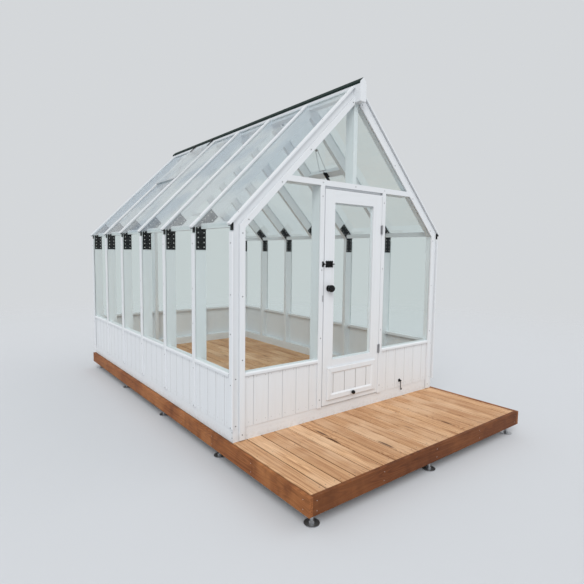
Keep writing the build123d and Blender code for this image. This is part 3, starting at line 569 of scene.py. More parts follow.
@dataclass(frozen=True)
class PaneGlass(Finish):
    """Thin clear float glass: sight passes straight through, and at a slant it mirrors the scene through a
    painted reflection of pale clouds on blue.
    """

    tint: Colour = (0.955, 0.975, 0.968)
    head_on: float = 0.05
    grazing: float = 0.95
    falloff: float = 5.0
    wet: float = 0.05
    cloud_reflection: Colour = (0.93, 0.96, 0.98)
    blue_reflection: Colour = (0.56, 0.66, 0.78)
    drops: Mottle = Mottle(even(55.0), 5.0, 0.72, 0.60, 0.80)
    drop_share: float = 0.6
    film: Mottle = Mottle(even(1.3), 4.0, low=0.35, high=0.8)
    film_share: float = 0.4
    painted_sky: Mottle = Mottle((1.43, 1.1, 1.43), 4.0, 0.5, 0.40, 0.62)
    rough: float = 0.03

    def lay(self, bench: Bench) -> None:
        """Lay the glass's nodes.

        Args:
            bench: Where they go.
        """
        slant = bench.add("ShaderNodeLayerWeight", {}, {"Blend": 0.5}, "Facing")
        place = bench.axes()
        drops = self.drops.patches(bench, *place) * self.drop_share
        film = self.film.patches(bench, *place) * self.film_share
        mirrored = self.head_on + self.grazing * slant ** self.falloff
        clear = bench.add("ShaderNodeBsdfTransparent", {}, {"Color": self.tint})
        # Painted reflection: the mirror's colour is mottled between pale cloud and blue.
        tone = bench.mix(self.painted_sky.patches(bench, *place), self.blue_reflection, self.cloud_reflection)
        sheet = bench.shine({"Base Color": tone, "Metallic": 1.0, "Roughness": self.rough})
        bench.close(bench.blend(mirrored + (drops + film) * self.wet, clear, sheet))


@dataclass(frozen=True)
class BlackIron(Finish):
    """Black powder-coated iron."""

    colour: Colour = (0.0045, 0.0048, 0.0055)
    dusty: Colour = (0.16, 0.15, 0.135)
    rough: float = 0.48
    rough_range: float = 0.22
    sheen: float = 0.16
    dust: Mottle = Mottle(even(24.0), 5.0, 0.65, 0.5, 0.85)
    dust_share: float = 0.05
    peel: Mottle = Mottle(even(900.0), 2.0)
    depth: float = 0.06 * MM
    strength: float = 0.6

    def lay(self, bench: Bench) -> None:
        """Lay the coating's nodes.

        Args:
            bench: Where they go.
        """
        place = bench.axes()
        dust = self.dust.patches(bench, *place)
        tone = bench.mix(dust * self.dust_share, self.colour, self.dusty)
        self.coat(bench, tone, dust, self.peel.value(bench, *place))


@dataclass(frozen=True)
class CapMetal(Finish):
    """Dark green coated sheet with rain marks."""

    colour: Colour = (0.010, 0.022, 0.019)
    washed: Colour = (0.16, 0.18, 0.17)
    runs: Mottle = Mottle((9.0, 60.0, 9.0), 4.0, 0.6, 0.45, 0.8)
    run_share: float = 0.12
    rough: float = 0.62
    rough_range: float = 0.2
    sheen: float = 0.1
    dents: Mottle = Mottle(even(14.0))
    depth: float = 0.4 * MM
    strength: float = 0.4

    def lay(self, bench: Bench) -> None:
        """Lay the sheet's nodes.

        Args:
            bench: Where they go.
        """
        place = bench.axes()
        runs = self.runs.patches(bench, *place)
        tone = bench.mix(runs * self.run_share, self.colour, self.washed)
        self.coat(bench, tone, runs, self.dents.value(bench, *place))


@dataclass(frozen=True)
class Steel(Finish):
    """Bare or zinc-plated steel with its mottled coat."""

    colour: Colour = (0.50, 0.51, 0.53)
    dull: Colour = (0.30, 0.30, 0.31)
    rough: float = 0.36
    rough_range: float = 0.25
    metal: float = 1.0
    metal_range: float = 0.35
    flakes: float = 160.0
    flake_share: float = 0.35
    stain: Mottle = Mottle(even(70.0), 5.0, 0.6, 0.45, 0.8)
    stain_share: float = 0.5
    depth: float = 0.05 * MM
    strength: float = 0.5

    def lay(self, bench: Bench) -> None:
        """Lay the metal's nodes.

        Args:
            bench: Where they go.
        """
        place = bench.axes()
        spangle = bench.spots(bench.vector(*place), self.flakes)
        stain = self.stain.patches(bench, *place)
        tone = bench.mix(spangle * self.flake_share + stain * self.stain_share, self.colour, self.dull)
        metal = self.metal - self.metal_range * self.metal * stain
        self.coat(bench, tone, stain, spangle, metal)


@dataclass(frozen=True)
class Shade(Finish):
    """Painted shade at the bottom of a screw's recess, near black with a faint mottle."""

    colour: Colour = (0.02, 0.02, 0.02)
    paler_shade: Colour = (0.05, 0.045, 0.04)
    shade_mottle: Mottle = Mottle(even(700.0))
    rough: float = 0.85

    def lay(self, bench: Bench) -> None:
        """Lay the painted shade's nodes."""
        tone = bench.mix(self.shade_mottle.value(bench, *bench.axes()), self.colour, self.paler_shade)
        bench.close(bench.shine({"Base Color": tone, "Roughness": self.rough}))


class Finishes:
    """The finishes that the greenhouse wears."""

    upright = PaintedTimber("paint_upright", grain=Grain.UPRIGHT)
    along = PaintedTimber("paint_along", grain=Grain.ALONG)
    across = PaintedTimber("paint_across", grain=Grain.ACROSS)
    pitched = PaintedTimber("paint_pitched", grain=Grain.PITCHED)
    side_boards = BoardPaint("paint_side_boards")
    end_boards = BoardPaint("paint_end_boards", share=0.24)
    hatch = HatchPaint("paint_hatch")
    deck = DeckPine("deck_pine")
    fascia_side = DeckPine(
        "fascia_pine_side", face=Face.SIDE, pale=(0.42, 0.155, 0.048), deep=(0.12, 0.034, 0.010),
        worn=(0.50, 0.215, 0.075), stain_share=0.60,
    )
    # The end boards and the joists wear a darker copy of the side boards' pine: partly a darker stain,
    # partly painted shade.
    fascia_end = DeckPine(
        "fascia_pine_end_shaded", face=Face.END, pale=(0.215, 0.069, 0.021), deep=(0.07, 0.020, 0.006),
        worn=(0.27, 0.100, 0.033), stain_share=0.45,
    )
    roof_glass = PaneGlass("roof_glass")
    wall_glass = PaneGlass("wall_glass", head_on=0.006, grazing=0.03, wet=0.008)
    iron = BlackIron("black_iron")
    knob = BlackIron("knob_black", rough=0.18, sheen=0.25)
    cap = CapMetal("cap_sheet")
    hinge = Steel("hinge_steel")
    trim = Steel("trim_aluminium", colour=(0.78, 0.79, 0.81), dull=(0.60, 0.61, 0.63), rough=0.34)
    zinc = Steel("zinc_steel", colour=(0.55, 0.56, 0.58), rough=0.42)
    screw = Steel("screw_steel", colour=(0.15, 0.145, 0.14), dull=(0.05, 0.048, 0.045), rough=0.5)
    bright_screw = Steel(
        "bright_screw_steel", colour=(0.72, 0.71, 0.68), dull=(0.40, 0.39, 0.36), rough=0.3
    )
    plate_screw = Steel(
        "plate_screw_steel", colour=(0.88, 0.88, 0.86), dull=(0.62, 0.62, 0.60), rough=0.4, metal=0.3
    )
    # Painted shade in the screws' recesses.
    recess = Shade("screw_recess_shade")
    nail = Steel("nail_steel", colour=(0.26, 0.26, 0.265), dull=(0.12, 0.118, 0.115), rough=0.5)

    @classmethod
    def dress_frame(cls) -> None:
        """Put a finish on every part of the frame."""
        cls.upright.dress(
            "side_posts", "king_posts", "gable_studs", "side_strips", "upright_strips", "door_stiles",
            "door_beads",
        )
        cls.along.dress(
            "base_sides", "eaves_rails", "ridge_beam", "ridge_end_blocks", "sills_sides", "vent_trimmers"
        )
        cls.across.dress(
            "base_ends", "transoms", "transom_strips", "sills_ends", "door_rails", "door_head",
            "hatch_hinge",
        )
        cls.pitched.dress("rafters_left", "rafters_right", "roof_bars", "gable_strips")
        cls.side_boards.dress("cladding_sides")
        cls.end_boards.dress("cladding_ends")
        cls.hatch.dress("hatch")
        cls.deck.dress("deck_boards")
        cls.fascia_side.dress("deck_fascia_sides")
        cls.fascia_end.dress("deck_fascia_ends", "deck_joists")
        cls.roof_glass.dress("glass_roof", "vent_glass")
        cls.wall_glass.dress("glass_sides", "glass_ends", "door_glass")
        cls.iron.dress(
            "knee_plates", "roof_clips", "vent_hinges", "vent_openers", "door_roses", "bolt_plate",
            "bolt_rod", "door_keep", "hook_plate", "cabin_hook",
        )
        cls.knob.dress("door_knob", "hatch_knob")
        cls.cap.dress("ridge_cap")
        cls.hinge.dress("door_hinge_flaps", "door_hinge_pins", "vent_arms")
        cls.trim.dress("vent_trims")
        cls.zinc.dress("deck_feet", "strike_plate")


@dataclass
class House:
    """Main lines of the house in the frame, in metres."""

    bays: int = 6
    strip_wide: float = 0.045
    strip_proud: float = 0.018
    glass_thick: float = 0.004
    post_deep: float = 0.095
    post_thick: float = 0.045
    plate_thick: float = 0.003
    board_wide: float = 0.138
    lean: float = math.sqrt(0.5)

    def __post_init__(self) -> None:
        """Read the places that follow from the frame."""
        base_low, base_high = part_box("base_sides")
        self.half = base_high.x
        self.front = base_low.y
        self.back = base_high.y
        self.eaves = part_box("side_posts")[1].z
        strips_low, strips_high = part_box("side_strips")
        first = strips_low.y + self.strip_wide / 2
        last = strips_high.y - self.strip_wide / 2
        self.strip_ys = [first + (last - first) * k / self.bays for k in range(self.bays + 1)]
        inner = self.post_thick / 2
        self.frame_ys = [min(max(y, self.front + inner), self.back - inner) for y in self.strip_ys]

    def ends(self) -> list[tuple[float, float]]:
        """Return the outer strip face's Y and its outward sign, for the front and the back."""
        return [(self.front - self.strip_proud, -1.0), (self.back + self.strip_proud, 1.0)]

    def roof_seat(self, side: float, inward: float, off: float) -> tuple[float, float]:
        """Return X and Z of a point off out from the rafters' top line."""
        out = off * self.lean
        return side * (self.half - inward + out), self.eaves + inward + out

    def boards(self, start: float, stop: float) -> list[tuple[float, float]]:
        """Share a bay between two posts out among its boards.

        Args:
            start: One post's face.
            stop: The other's.

        Returns:
            Both edges of every board.
        """
        wide = self.board_wide
        whole = max(0, int((stop - start) // wide) - 1)
        first = start + (stop - start - whole * wide) / 2
        edges = [start] + [first + k * wide for k in range(whole + 1)] + [stop]
        return list(zip(edges, edges[1:]))

    def rafter_strip(self, inward: float) -> float:
        """Return the height of the gable strip's middle line this far in from the wall."""
        knee = self.eaves + self.post_deep - self.post_deep / self.lean
        return knee + inward - self.post_deep + self.strip_wide / 2 / self.lean


class Head(Enum):
    """What shows of a fixing: how many sides it has, and how wide its top is against its foot."""

    SCREW = (8, 0.86)
    NAIL = (6, 0.7)
    NUT = (6, 1.0)

    def __init__(self, sides: int, top: float) -> None:
        """Keep the two numbers by their names."""
        self.sides = sides
        self.top = top


@dataclass
class Fixings:
    """A set of like screws, nails or nuts on one body, made as one piece."""

    name: str
    body: str
    head: Head
    radius: float
    rise: float
    finish: Finish
    sunk: float = 0.0
    cross_rim: float = 0.22
    cross_waist: float = 0.42
    cross_deep: float = 0.7
    bevel: float = 0.12
    seats: list[tuple[Vector, Vector]] = field(default_factory=list)

    def add(self, x: float, y: float, z: float, out: Triple) -> None:
        """Place a fixing at a point of a surface, with the way that it faces."""
        self.seats.append((Vector((x, y, z)) - self.sunk * Vector(out), Vector(out)))

    def cut_cross(self, bm: bmesh.types.BMesh, top: bmesh.types.BMFace) -> None:
        """Sink a cross recess in a screw's top.

        Args:
            bm: The mesh to model in.
            top: The head's top face.
        """
        bmesh.ops.inset_individual(bm, faces=[top], thickness=self.radius * self.cross_rim)
        waist = (self.cross_waist, self.cross_waist, 1.0)
        bmesh.ops.scale(bm, verts=list(top.verts)[::2], vec=waist)
        floor = bmesh.ops.extrude_discrete_faces(bm, faces=[top])["faces"][0]
        bmesh.ops.translate(bm, verts=floor.verts, vec=(0, 0, -self.rise * self.cross_deep))
        # The recess's floor and walls take the second finish, a painted shade.
        for face in {floor, *(face for edge in floor.edges for face in edge.link_faces)}:
            face.material_index = 1

    def model_head(self, bm: bmesh.types.BMesh) -> list:
        """Model one head at the origin, facing up.

        Args:
            bm: The mesh to model in.

        Returns:
            The head's vertices, edges and faces.
        """
        bmesh.ops.create_circle(bm, cap_ends=True, segments=self.head.sides, radius=self.radius)
        raised = bmesh.ops.extrude_face_region(bm, geom=bm.faces[:])
        top = [f for f in raised["geom"] if isinstance(f, bmesh.types.BMFace)][0]
        bmesh.ops.translate(bm, verts=top.verts, vec=(0, 0, self.rise))
        bmesh.ops.scale(bm, verts=top.verts, vec=(self.head.top, self.head.top, 1.0))
        if self.head is Head.SCREW:
            self.cut_cross(bm, top)
        elif self.head is Head.NUT:
            bmesh.ops.bevel(
                bm, geom=list(top.edges), offset=self.radius * self.bevel, segments=1, profile=0.5,
                affect="EDGES", material=-1,
            )
        bmesh.ops.recalc_face_normals(bm, faces=bm.faces[:])
        return bm.verts[:] + bm.edges[:] + bm.faces[:]

    def build(self) -> bpy.types.Object:
        """Model every fixing at its seat, each turned by chance about its own axis.

        Returns:
            The joined piece.
        """
        bm = bmesh.new()
        master = self.model_head(bm)
        luck = random.Random(len(self.seats))
        for point, out in self.seats:
            copy = bmesh.ops.duplicate(bm, geom=master)["geom"]
            verts = [v for v in copy if isinstance(v, bmesh.types.BMVert)]
            turn = UP.rotation_difference(out).to_matrix().to_4x4()
            spin = Matrix.Rotation(luck.uniform(0, math.tau), 4, "Z")
            bmesh.ops.transform(bm, matrix=Matrix.Translation(point) @ turn @ spin, verts=verts)
        spare = [g for g in master if isinstance(g, bmesh.types.BMVert)]
        bmesh.ops.delete(bm, geom=spare, context="VERTS")
        return finish_piece(bm, self.name, self.body, [self.finish, Finishes.recess])


def finish_piece(
    bm: bmesh.types.BMesh, name: str, body: str, finishes: list[Finish]
) -> bpy.types.Object:
    """Turn a modelled mesh into a piece of the scene.

    Args:
        bm: The modelled mesh, which is freed.
        name: The piece's name.
        body: The body that it rides on.
        finishes: Its finishes, by material index.

    Returns:
        The new object.
    """
    mesh = bpy.data.meshes.new(name)
    bm.to_mesh(mesh)
    bm.free()
    for each in finishes:
        mesh.materials.append(each.material())
    piece = bpy.data.objects.new(name, mesh)
    bpy.context.scene.collection.objects.link(piece)
    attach(piece, body)
    return piece


class FixingGroup:
    """Sets of fixings of one size on one part of the house."""

    radius: float
    rise: float

    def start(self, name: str, finish: Finish, body: str = "greenhouse", head: Head = Head.SCREW) -> Fixings:
        """Start a set of these fixings, with no seats yet."""
        return Fixings(name, body, head, self.radius, self.rise, finish)

    def sets(self) -> list[Fixings]:
        """Return the group's sets with their seats."""
        raise NotImplementedError

    def build(self) -> list[bpy.types.Object]:
        """Build every set as a piece."""
        return [found.build() for found in self.sets()]


@dataclass
class FrameScrews(FixingGroup):
    """Screws that hold the strips to the frame, as they show outside."""

    house: House
    radius: float = 4.8 * MM
    rise: float = 0.9 * MM
    side_heights: tuple[float, ...] = (0.330, 0.654, 1.035, 1.326, 1.70)
    stud_heights: tuple[float, ...] = (0.382, 0.918, 1.494, 2.102)
    corner_heights: tuple[float, ...] = (0.262, 0.834, 1.309, 1.773)
    rake_inward: tuple[float, ...] = (0.124, 0.424, 0.707, 1.165)
    post_heights: tuple[float, ...] = (0.333, 0.693)
    post_in: float = 0.025
    base_heights: tuple[float, ...] = (0.245, 0.287)
    base_in: float = 0.010
    stud_x: float = 0.3785
    bar_count: int = 5
    bar_first: float = 0.06
    bar_short: float = 0.16

    def sides(self) -> Fixings:
        """Find the screws down the strips of both side walls.

        Returns:
            Their set.
        """
        house = self.house
        found = self.start("side_strip_screws", Finishes.screw)
        for side in SIDES:
            for y in house.strip_ys:
                for z in self.side_heights:
                    found.add(side * (house.half + house.strip_proud), y, z, (side, 0, 0))
            for y in (house.front + self.base_in, house.back - self.base_in):
                for z in self.base_heights:
                    found.add(side * house.half, y, z, (side, 0, 0))
        return found

    def gables(self) -> Fixings:
        """Find the screws on the strips of both gables.

        Returns:
            Their set.
        """
        house = self.house
        found = self.start("gable_strip_screws", Finishes.screw)
        corner_x = house.half - house.post_deep + house.strip_wide / 2
        beam_low, beam_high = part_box("transom_strips")
        for y, out in house.ends():
            way = (0, out, 0)
            for side in SIDES:
                for z in self.corner_heights:
                    found.add(side * corner_x, y, z, way)
                for inward in self.rake_inward:
                    found.add(side * (house.half - inward), y, house.rafter_strip(inward), way)
                for z in self.stud_heights:
                    found.add(side * self.stud_x, y, z, way)
                for z in self.post_heights:
                    found.add(side * (house.half - self.post_in), y - out * house.strip_proud, z, way)
            for x in (-self.stud_x, 0.0, self.stud_x):
                found.add(x, y, (beam_low.z + beam_high.z) / 2, way)
        return found

    def roof(self) -> Fixings:
        """Find the screws down the roof bars.

        Returns:
            Their set.
        """
        house = self.house
        found = self.start("roof_bar_screws", Finishes.screw)
        step = (house.half - self.bar_short) / (self.bar_count - 1)
        for side in SIDES:
            for y in house.strip_ys:
                for k in range(self.bar_count):
                    x, z = house.roof_seat(side, self.bar_first + k * step, house.strip_proud)
                    found.add(x, y, z, (side * house.lean, 0, house.lean))
        return found

    def sets(self) -> list[Fixings]:
        """Return the strips' sets."""
        return [self.sides(), self.gables(), self.roof()]


@dataclass
class WallNails(FixingGroup):
    """Nails in two rows across the boards of the walls."""

    house: House
    radius: float = 2.6 * MM
    rise: float = 0.5 * MM
    heights: tuple[float, ...] = (0.343, 0.690)
    inset: float = 0.028
    stud_outer: float = 0.401
    stud_inner: float = 0.356

    def along(self, start: float, stop: float) -> list[float]:
        """Find where the nails stand in a bay: two in a whole board, one in a narrow one.

        Args:
            start: Where the bay begins.
            stop: Where it ends.

        Returns:
            Their places along it.
        """
        places = []
        for low, high in self.house.boards(start, stop):
            whole = high - low > 4 * self.inset
            places += [low + self.inset, high - self.inset] if whole else [(low + high) / 2]
        return places

    def sets(self) -> list[Fixings]:
        """Find the nails of all four walls.

        Returns:
            Their one set.
        """
        house = self.house
        found = self.start("wall_nails", Finishes.nail, head=Head.NAIL)
        reach = house.half + house.glass_thick
        half = house.post_thick / 2
        corner = house.half - house.post_deep
        front = house.front - house.glass_thick
        back = house.back + house.glass_thick
        for z in self.heights:
            for y0, y1 in zip(house.frame_ys, house.frame_ys[1:]):
                for y in self.along(y0 + half, y1 - half):
                    for side in SIDES:
                        found.add(side * reach, y, z, (side, 0, 0))
            for x in self.along(-corner, -self.stud_outer):
                for side in SIDES:
                    found.add(side * x, front, z, FRONT)
                    found.add(side * x, back, z, BACK)
            for x in self.along(-self.stud_inner, self.stud_inner):
                found.add(x, back, z, BACK)
        return [found]


@dataclass
class DeckScrews(FixingGroup):
    """Screws over the joists in every deck board, and in the fascia boards."""

    house: House
    radius: float = 3.6 * MM
    rise: float = 0.5 * MM
    joists: int = 9
    boards: int = 19
    board_wide: float = 0.120
    edge: float = 0.022
    fascia_rows: tuple[float, float] = (0.028, 0.030)
    fascia_end: float = 0.06
    gaps_across: int = 4
    gaps_along: int = 8
    proud: float = 0.04 * MM

    def hidden(self, x: float, y: float) -> bool:
        """Tell whether the base of the house stands on a point of the deck.

        Args:
            x: Its place across the house.
            y: Its place along the house.

        Returns:
            True where the base hides it.
        """
        house = self.house
        beside = house.half - abs(x)
        within = min(y - house.front, house.back - y)
        return min(beside, within) > 0 and min(beside, within) < house.post_deep

    def top(self) -> Fixings:
        """Find the screws in the deck boards that the house leaves open.

        Returns:
            Their set.
        """
        low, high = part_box("deck_boards")
        joists_low, joists_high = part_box("deck_joists")
        found = self.start("deck_screws", Finishes.screw)
        pitch = (high.x - low.x - self.board_wide) / (self.boards - 1)
        first = joists_low.y + self.house.post_thick / 2
        step = (joists_high.y - joists_low.y - self.house.post_thick) / (self.joists - 1)
        for k in range(self.boards):
            for row in range(self.joists):
                for inset in (self.edge, self.board_wide - self.edge):
                    x, y = low.x + k * pitch + inset, first + row * step
                    if not self.hidden(x, y):
                        found.add(x, y, high.z, (0, 0, 1))
        return found

    def fascia(self) -> Fixings:
        """Find the screws in the boards round the deck's edge.

        Returns:
            Their set.
        """
        low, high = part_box("deck_fascia_sides")
        found = self.start("fascia_screws", Finishes.bright_screw)
        found.sunk = self.rise - self.proud
        rows = (low.z + self.fascia_rows[0], high.z - self.fascia_rows[1])
        for count, axis in ((self.gaps_across, 0), (self.gaps_along, 1)):
            start, stop = low[axis] + self.fascia_end, high[axis] - self.fascia_end
            for k in range(count + 1):
                at = start + (stop - start) * k / count
                for z in rows:
                    if axis == 0:
                        found.add(at, low.y, z, FRONT)
                        found.add(at, high.y, z, BACK)
                    else:
                        found.add(low.x, at, z, (-1, 0, 0))
                        found.add(high.x, at, z, (1, 0, 0))
        return found

    def sets(self) -> list[Fixings]:
        """Return the deck's sets."""
        return [self.top(), self.fascia()]


@dataclass
class PlateScrews(FixingGroup):
    """Screws of the black plates at the knees of the frames."""

    house: House
    radius: float = 5.0 * MM
    rise: float = 1.2 * MM
    leg: float = 0.203
    columns: tuple[float, ...] = (0.023, 0.076)
    rows: int = 5
    first: float = 0.022
    first_up_rafter: float = 0.062
    pitch: float = 0.040

    def faces(self) -> list[tuple[float, float]]:
        """Find the plates' outer faces.

        Returns:
            The Y and the outward sign of each.
        """
        house = self.house
        reach = house.post_thick / 2 + house.plate_thick
        found = []
        for k, y in enumerate(house.frame_ys):
            if k > 0:
                found.append((y - reach, -1.0))
            if k < house.bays:
                found.append((y + reach, 1.0))
        return found

    def sets(self) -> list[Fixings]:
        """Find the screws down the post and up the rafter on every plate.

        Returns:
            Their one set.
        """
        house = self.house
        found = self.start("knee_plate_screws", Finishes.plate_screw, head=Head.NAIL)
        for y, out in self.faces():
            for side in SIDES:
                for column in self.columns:
                    for row in range(self.rows):
                        height = house.eaves - self.leg + self.first + row * self.pitch
                        found.add(side * (house.half - column), y, height, (0, out, 0))
                        along = self.first_up_rafter + row * self.pitch
                        inward = (along + column) * house.lean
                        height = house.eaves + (along - column) * house.lean
                        found.add(side * (house.half - inward), y, height, (0, out, 0))
        return [found]


@dataclass
class RoofFixings(FixingGroup):
    """Screws of the clips at the eaves, of the vents' hinges and of the ridge cap."""

    house: House
    radius: float = 3.8 * MM
    rise: float = 0.9 * MM
    clip_rows: tuple[float, ...] = (0.013, 0.038)
    vent_bays: tuple[tuple[float, int], ...] = ((-1.0, 4), (1.0, 1))
    vent_top: float = 0.038
    hinge_in: float = 0.0565
    strap_from_top: tuple[float, ...] = (0.018, 0.056)
    leaf_past_top: float = 0.036
    cap_pitch: float = 0.42

    def clips(self) -> Fixings:
        """Find the two screws, one over the other, in every clip.

        Returns:
            Their set.
        """
        house = self.house
        found = self.start("clip_screws", Finishes.screw)
        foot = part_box("roof_clips")[0].z
        reach = house.half + house.glass_thick + house.plate_thick
        for side in SIDES:
            for y in house.strip_ys:
                for up in self.clip_rows:
                    found.add(side * reach, y, foot + up, (side, 0, 0))
        return found

    def vents(self) -> Fixings:
        """Find the screws in the straps and the leaves of the vents' hinges.

        Returns:
            Their set.
        """
        house = self.house
        lean = house.lean
        found = self.start("vent_hinge_screws", Finishes.screw)
        cap_off = (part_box("ridge_cap")[1].z - house.eaves - house.half) * lean + house.plate_thick
        strap_off = house.strip_proud + house.glass_thick + house.plate_thick
        top = house.half - self.vent_top
        seats = [(top - down * lean, strap_off) for down in self.strap_from_top]
        seats.append((top + self.leaf_past_top * lean, cap_off))
        for side, bay in self.vent_bays:
            for y in (house.strip_ys[bay] + self.hinge_in, house.strip_ys[bay + 1] - self.hinge_in):
                for inward, off in seats:
                    x, z = house.roof_seat(side, inward, off)
                    found.add(x, y, z, (side * lean, 0, lean))
        return found

    def cap(self) -> Fixings:
        """Find the screws through the short legs of the ridge cap.

        Returns:
            Their set.
        """
        low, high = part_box("ridge_cap")
        found = self.start("cap_screws", Finishes.cap)
        run = high.y - low.y - self.cap_pitch
        count = round(run / self.cap_pitch)
        for k in range(count + 1):
            y = low.y + self.cap_pitch / 2 + run * k / count
            found.add(low.x, y, low.z + 2 * self.radius, (-1, 0, 0))
            found.add(high.x, y, low.z + 2 * self.radius, (1, 0, 0))
        return found

    def sets(self) -> list[Fixings]:
        """Return the roof's sets."""
        return [self.clips(), self.vents(), self.cap()]


@dataclass
class DoorFixings(FixingGroup):
    """Screws of the door's fittings and nails of its hatch."""

    house: House
    radius: float = 3.0 * MM
    rise: float = 0.6 * MM
    hinge_high: float = 0.079
    flap_wide: float = 0.017
    flap_thick: float = 0.0028
    flap_middle: float = 0.0115
    flap_rows: tuple[float, ...] = (-0.027, 0.0, 0.027)
    lobe: tuple[float, float] = (0.0315, 0.0185)
    keep_lobe: float = 0.014
    strike_row: float = 0.019
    rose_ring: float = 0.0215
    rose_screws: int = 3
    rose_start: float = 0.25
    hook_row: float = 0.0105
    nail_radius: float = 2.2 * MM
    nail_rise: float = 0.4 * MM
    nail_xs: tuple[float, ...] = (-0.235, -0.104, 0.034, 0.172, 0.235)
    nail_zs: tuple[float, ...] = (0.429, 0.585)
    panel_off: float = 0.0253

    def face(self, thick: float) -> float:
        """Return the Y of a fitting's front on the door's and the strips' plane."""
        return self.house.front - self.house.strip_proud - thick

    def pair(self, found: Fixings, node: str, y: float, apart: float) -> None:
        """Add two fixings, one over the other, about a part's middle.

        Args:
            found: The set that they join.
            node: The part.
            y: Where its front is.
            apart: How far each is from the middle.
        """
        low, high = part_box(node)
        for up in (-apart, apart):
            found.add((low.x + high.x) / 2, y, (low.z + high.z) / 2 + up, FRONT)

    def hinges(self) -> list[Fixings]:
        """Find the screws in both flaps of the door's hinges.

        Returns:
            The leaf's set and the jamb's.
        """
        low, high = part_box("door_hinge_flaps")
        axis_x = low.x + self.flap_wide
        leaf = self.start("leaf_hinge_screws", Finishes.hinge, "door")
        jamb = self.start("jamb_hinge_screws", Finishes.hinge)
        for found, side in ((leaf, -1.0), (jamb, 1.0)):
            for middle in (low.z + self.hinge_high / 2, high.z - self.hinge_high / 2):
                for up in self.flap_rows:
                    x = axis_x + side * self.flap_middle
                    found.add(x, self.face(self.flap_thick), middle + up, FRONT)
        return [leaf, jamb]

    def leaf(self) -> Fixings:
        """Find the screws in the bolt's plate and in the knobs' roses.

        Returns:
            Their set.
        """
        found = self.start("leaf_fitting_screws", Finishes.iron, "door")
        low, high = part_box("bolt_plate")
        middle = (low + high) / 2
        across, up = self.lobe
        for x in (-across, across):
            for z in (-up, up):
                found.add(middle.x + x, self.face(self.house.plate_thick), middle.z + z, FRONT)
        low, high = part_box("door_roses")
        middle = (low + high) / 2
        for k in range(self.rose_screws):
            turn = math.tau * (k / self.rose_screws + self.rose_start)
            x = middle.x + self.rose_ring * math.cos(turn)
            z = middle.z + self.rose_ring * math.sin(turn)
            found.add(x, low.y, z, FRONT)
            found.add(x, high.y, z, BACK)
        return found

    def wall(self) -> Fixings:
        """Find the screws in the bolt's keeper and in the hook's plate.

        Returns:
            Their set.
        """
        house = self.house
        found = self.start("wall_fitting_screws", Finishes.iron)
        self.pair(found, "door_keep", self.face(house.plate_thick), self.keep_lobe)
        on_boards = house.front - house.glass_thick - house.plate_thick
        self.pair(found, "hook_plate", on_boards, self.hook_row)
        return found

    def strike(self) -> Fixings:
        """Find the screws in the striking plate.

        Returns:
            Their set.
        """
        found = self.start("strike_plate_screws", Finishes.zinc)
        self.pair(found, "strike_plate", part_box("strike_plate")[0].y, self.strike_row)
        return found

    def nails(self) -> Fixings:
        """Find the nails at both ends of the hatch panel's boards.

        Returns:
            Their set.
        """
        found = Fixings(
            "hatch_nails", "hatch", Head.NAIL, self.nail_radius, self.nail_rise, Finishes.nail
        )
        for x in self.nail_xs:
            for z in self.nail_zs:
                found.add(x, self.house.front - self.panel_off, z, FRONT)
        return found

    def sets(self) -> list[Fixings]:
        """Return the door's and the hatch's sets."""
        return [*self.hinges(), self.leaf(), self.wall(), self.strike(), self.nails()]


@dataclass
class FootNuts(FixingGroup):
    """Nuts on the stems of the deck's feet."""

    radius: float = 0.019
    rise: float = 0.013
    base_radius: float = 0.050
    plate_thick: float = 0.005
    rows: int = 5

    def sets(self) -> list[Fixings]:
        """Find a nut on every base and one under every top plate.

        Returns:
            Their one set.
        """
        low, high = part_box("deck_feet")
        found = self.start("foot_nuts", Finishes.zinc, head=Head.NUT)
        start, stop = low.y + self.base_radius, high.y - self.base_radius
        for x in (low.x + self.base_radius, 0.0, high.x - self.base_radius):
            for row in range(self.rows):
                y = start + (stop - start) * row / (self.rows - 1)
                found.add(x, y, low.z + self.plate_thick, (0, 0, 1))
                found.add(x, y, high.z - self.plate_thick, (0, 0, -1))
        return [found]


@dataclass(frozen=True)
class Lamp:
    """A distant soft light that faces the house and leaves no disc in its panes."""

    name: str
    place: Triple
    strength: float
    spread: float

    def hang(self) -> None:
        """Add the lamp to the scene, its spread in degrees."""
        light = bpy.data.lights.new(self.name, "SUN")
        light.energy = self.strength
        light.angle = math.radians(self.spread)
        holder = bpy.data.objects.new(self.name, light)
        place = Vector(self.place)
        turn = (-place).to_track_quat("-Z", "Y").to_matrix().to_4x4()
        holder.matrix_world = Matrix.Translation(place) @ turn
        holder.visible_glossy = False
        bpy.context.scene.collection.objects.link(holder)


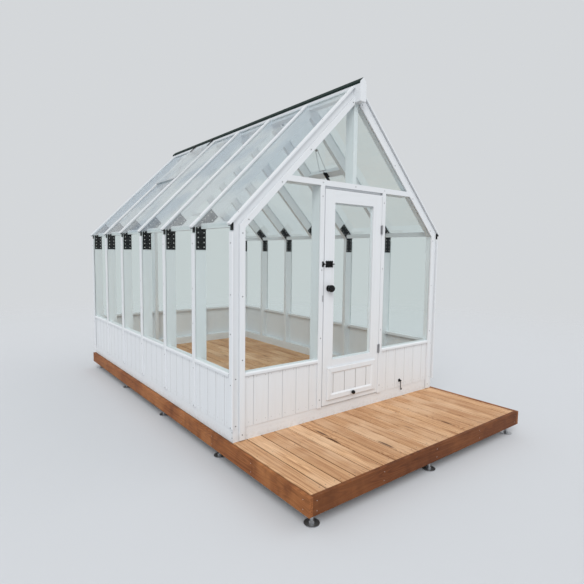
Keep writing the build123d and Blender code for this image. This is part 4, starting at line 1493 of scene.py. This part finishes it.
@dataclass
class Studio:
    """Floor, backdrop, lights and camera."""

    backdrop: Colour = (0.660, 0.680, 0.700)
    floor_tone: Colour = (0.60, 0.615, 0.635)
    floor_rough: float = 0.85
    floor_sides: int = 64
    reach: float = 14.0
    fade_from: float = 3.0
    fade_to: float = 12.88
    ambient: float = 0.66
    ambient_tone: Colour = (0.95, 0.97, 1.0)
    lamps: tuple[Lamp, ...] = (
        Lamp("key_light", (-6.5, -7.0, 8.5), 1.95, 42.0),
        Lamp("fill_light", (7.5, -4.0, 6.0), 0.42, 60.0),
    )
    eye: Triple = (-2.888, -4.2915, 1.637)
    heading: float = 37.834
    tilt: float = -4.99
    roll: float = 0.712
    focal_pixels: float = 452.3
    picture_wide: float = 584.0
    sensor: float = 36.0

    def floor(self) -> None:
        """Lay a pale floor that fades into the backdrop."""
        bm = bmesh.new()
        bmesh.ops.create_circle(bm, cap_ends=True, segments=self.floor_sides, radius=self.reach)
        mesh = bpy.data.meshes.new("studio_floor")
        bm.to_mesh(mesh)
        bm.free()
        material = bpy.data.materials.new("floor_tone")
        material.use_nodes = True
        bench = Bench(material.node_tree)
        x, y, _ = bench.axes()
        distance = (x * x + y * y).math("SQRT")
        plain = bench.shine({"Base Color": self.floor_tone, "Roughness": self.floor_rough})
        gone = bench.add("ShaderNodeBsdfTransparent", {}, {})
        bench.close(bench.blend(distance.smooth(self.fade_from, self.fade_to), plain, gone))
        mesh.materials.append(material)
        plane = bpy.data.objects.new("studio_floor", mesh)
        bpy.context.scene.collection.objects.link(plane)

    def world(self) -> None:
        """Light the scene evenly and show a pale backdrop."""
        world = bpy.data.worlds.new("studio_world")
        bpy.context.scene.world = world
        world.use_nodes = True
        bench = Bench(world.node_tree)
        kinds = ("Is Camera Ray", "Is Glossy Ray", "Is Transmission Ray")
        seen, glossy, passed = (bench.add("ShaderNodeLightPath", {}, {}, kind) for kind in kinds)
        seen = seen.math("MAXIMUM", glossy).math("MAXIMUM", passed)
        inputs = {"Color": self.ambient_tone, "Strength": self.ambient}
        soft = bench.add("ShaderNodeBackground", {}, inputs)
        pale = bench.add("ShaderNodeBackground", {}, {"Color": self.backdrop, "Strength": 1.0})
        bench.close(bench.blend(seen, soft, pale), "ShaderNodeOutputWorld")

    def camera(self) -> None:
        """Set the camera where the photograph was taken from."""
        yaw, pitch, roll = (math.radians(a) for a in (self.heading, self.tilt, self.roll))
        level = math.cos(pitch)
        ahead = Vector((math.sin(yaw) * level, math.cos(yaw) * level, math.sin(pitch)))
        right = ahead.cross(UP).normalized()
        above = right.cross(ahead)
        turned_right = right * math.cos(roll) + above * math.sin(roll)
        turned_up = above * math.cos(roll) - right * math.sin(roll)
        lens = bpy.data.cameras.new("photo_camera")
        lens.sensor_width = self.sensor
        lens.lens = self.focal_pixels / self.picture_wide * self.sensor
        holder = bpy.data.objects.new("photo_camera", lens)
        turn = Matrix((turned_right, turned_up, -ahead)).transposed().to_4x4()
        holder.matrix_world = Matrix.Translation(Vector(self.eye)) @ turn
        bpy.context.scene.collection.objects.link(holder)
        bpy.context.scene.camera = holder

    def build(self) -> None:
        """Set up the whole studio."""
        bpy.context.scene.view_settings.view_transform = "Standard"
        self.floor()
        self.world()
        for lamp in self.lamps:
            lamp.hang()
        self.camera()


def main() -> None:
    """Dress the frame and build every piece in order."""
    logging.basicConfig(level=logging.INFO, format="%(message)s")
    Studio().build()
    Finishes.dress_frame()
    house = House()
    groups: list[FixingGroup] = [
        FrameScrews(house), WallNails(house), DeckScrews(house), PlateScrews(house), RoofFixings(house),
        DoorFixings(house), FootNuts(),
    ]
    for group in groups:
        for piece in group.build():
            log.info("%s has %d faces", piece.name, len(piece.data.polygons))


if __name__ == "__main__":
    main()
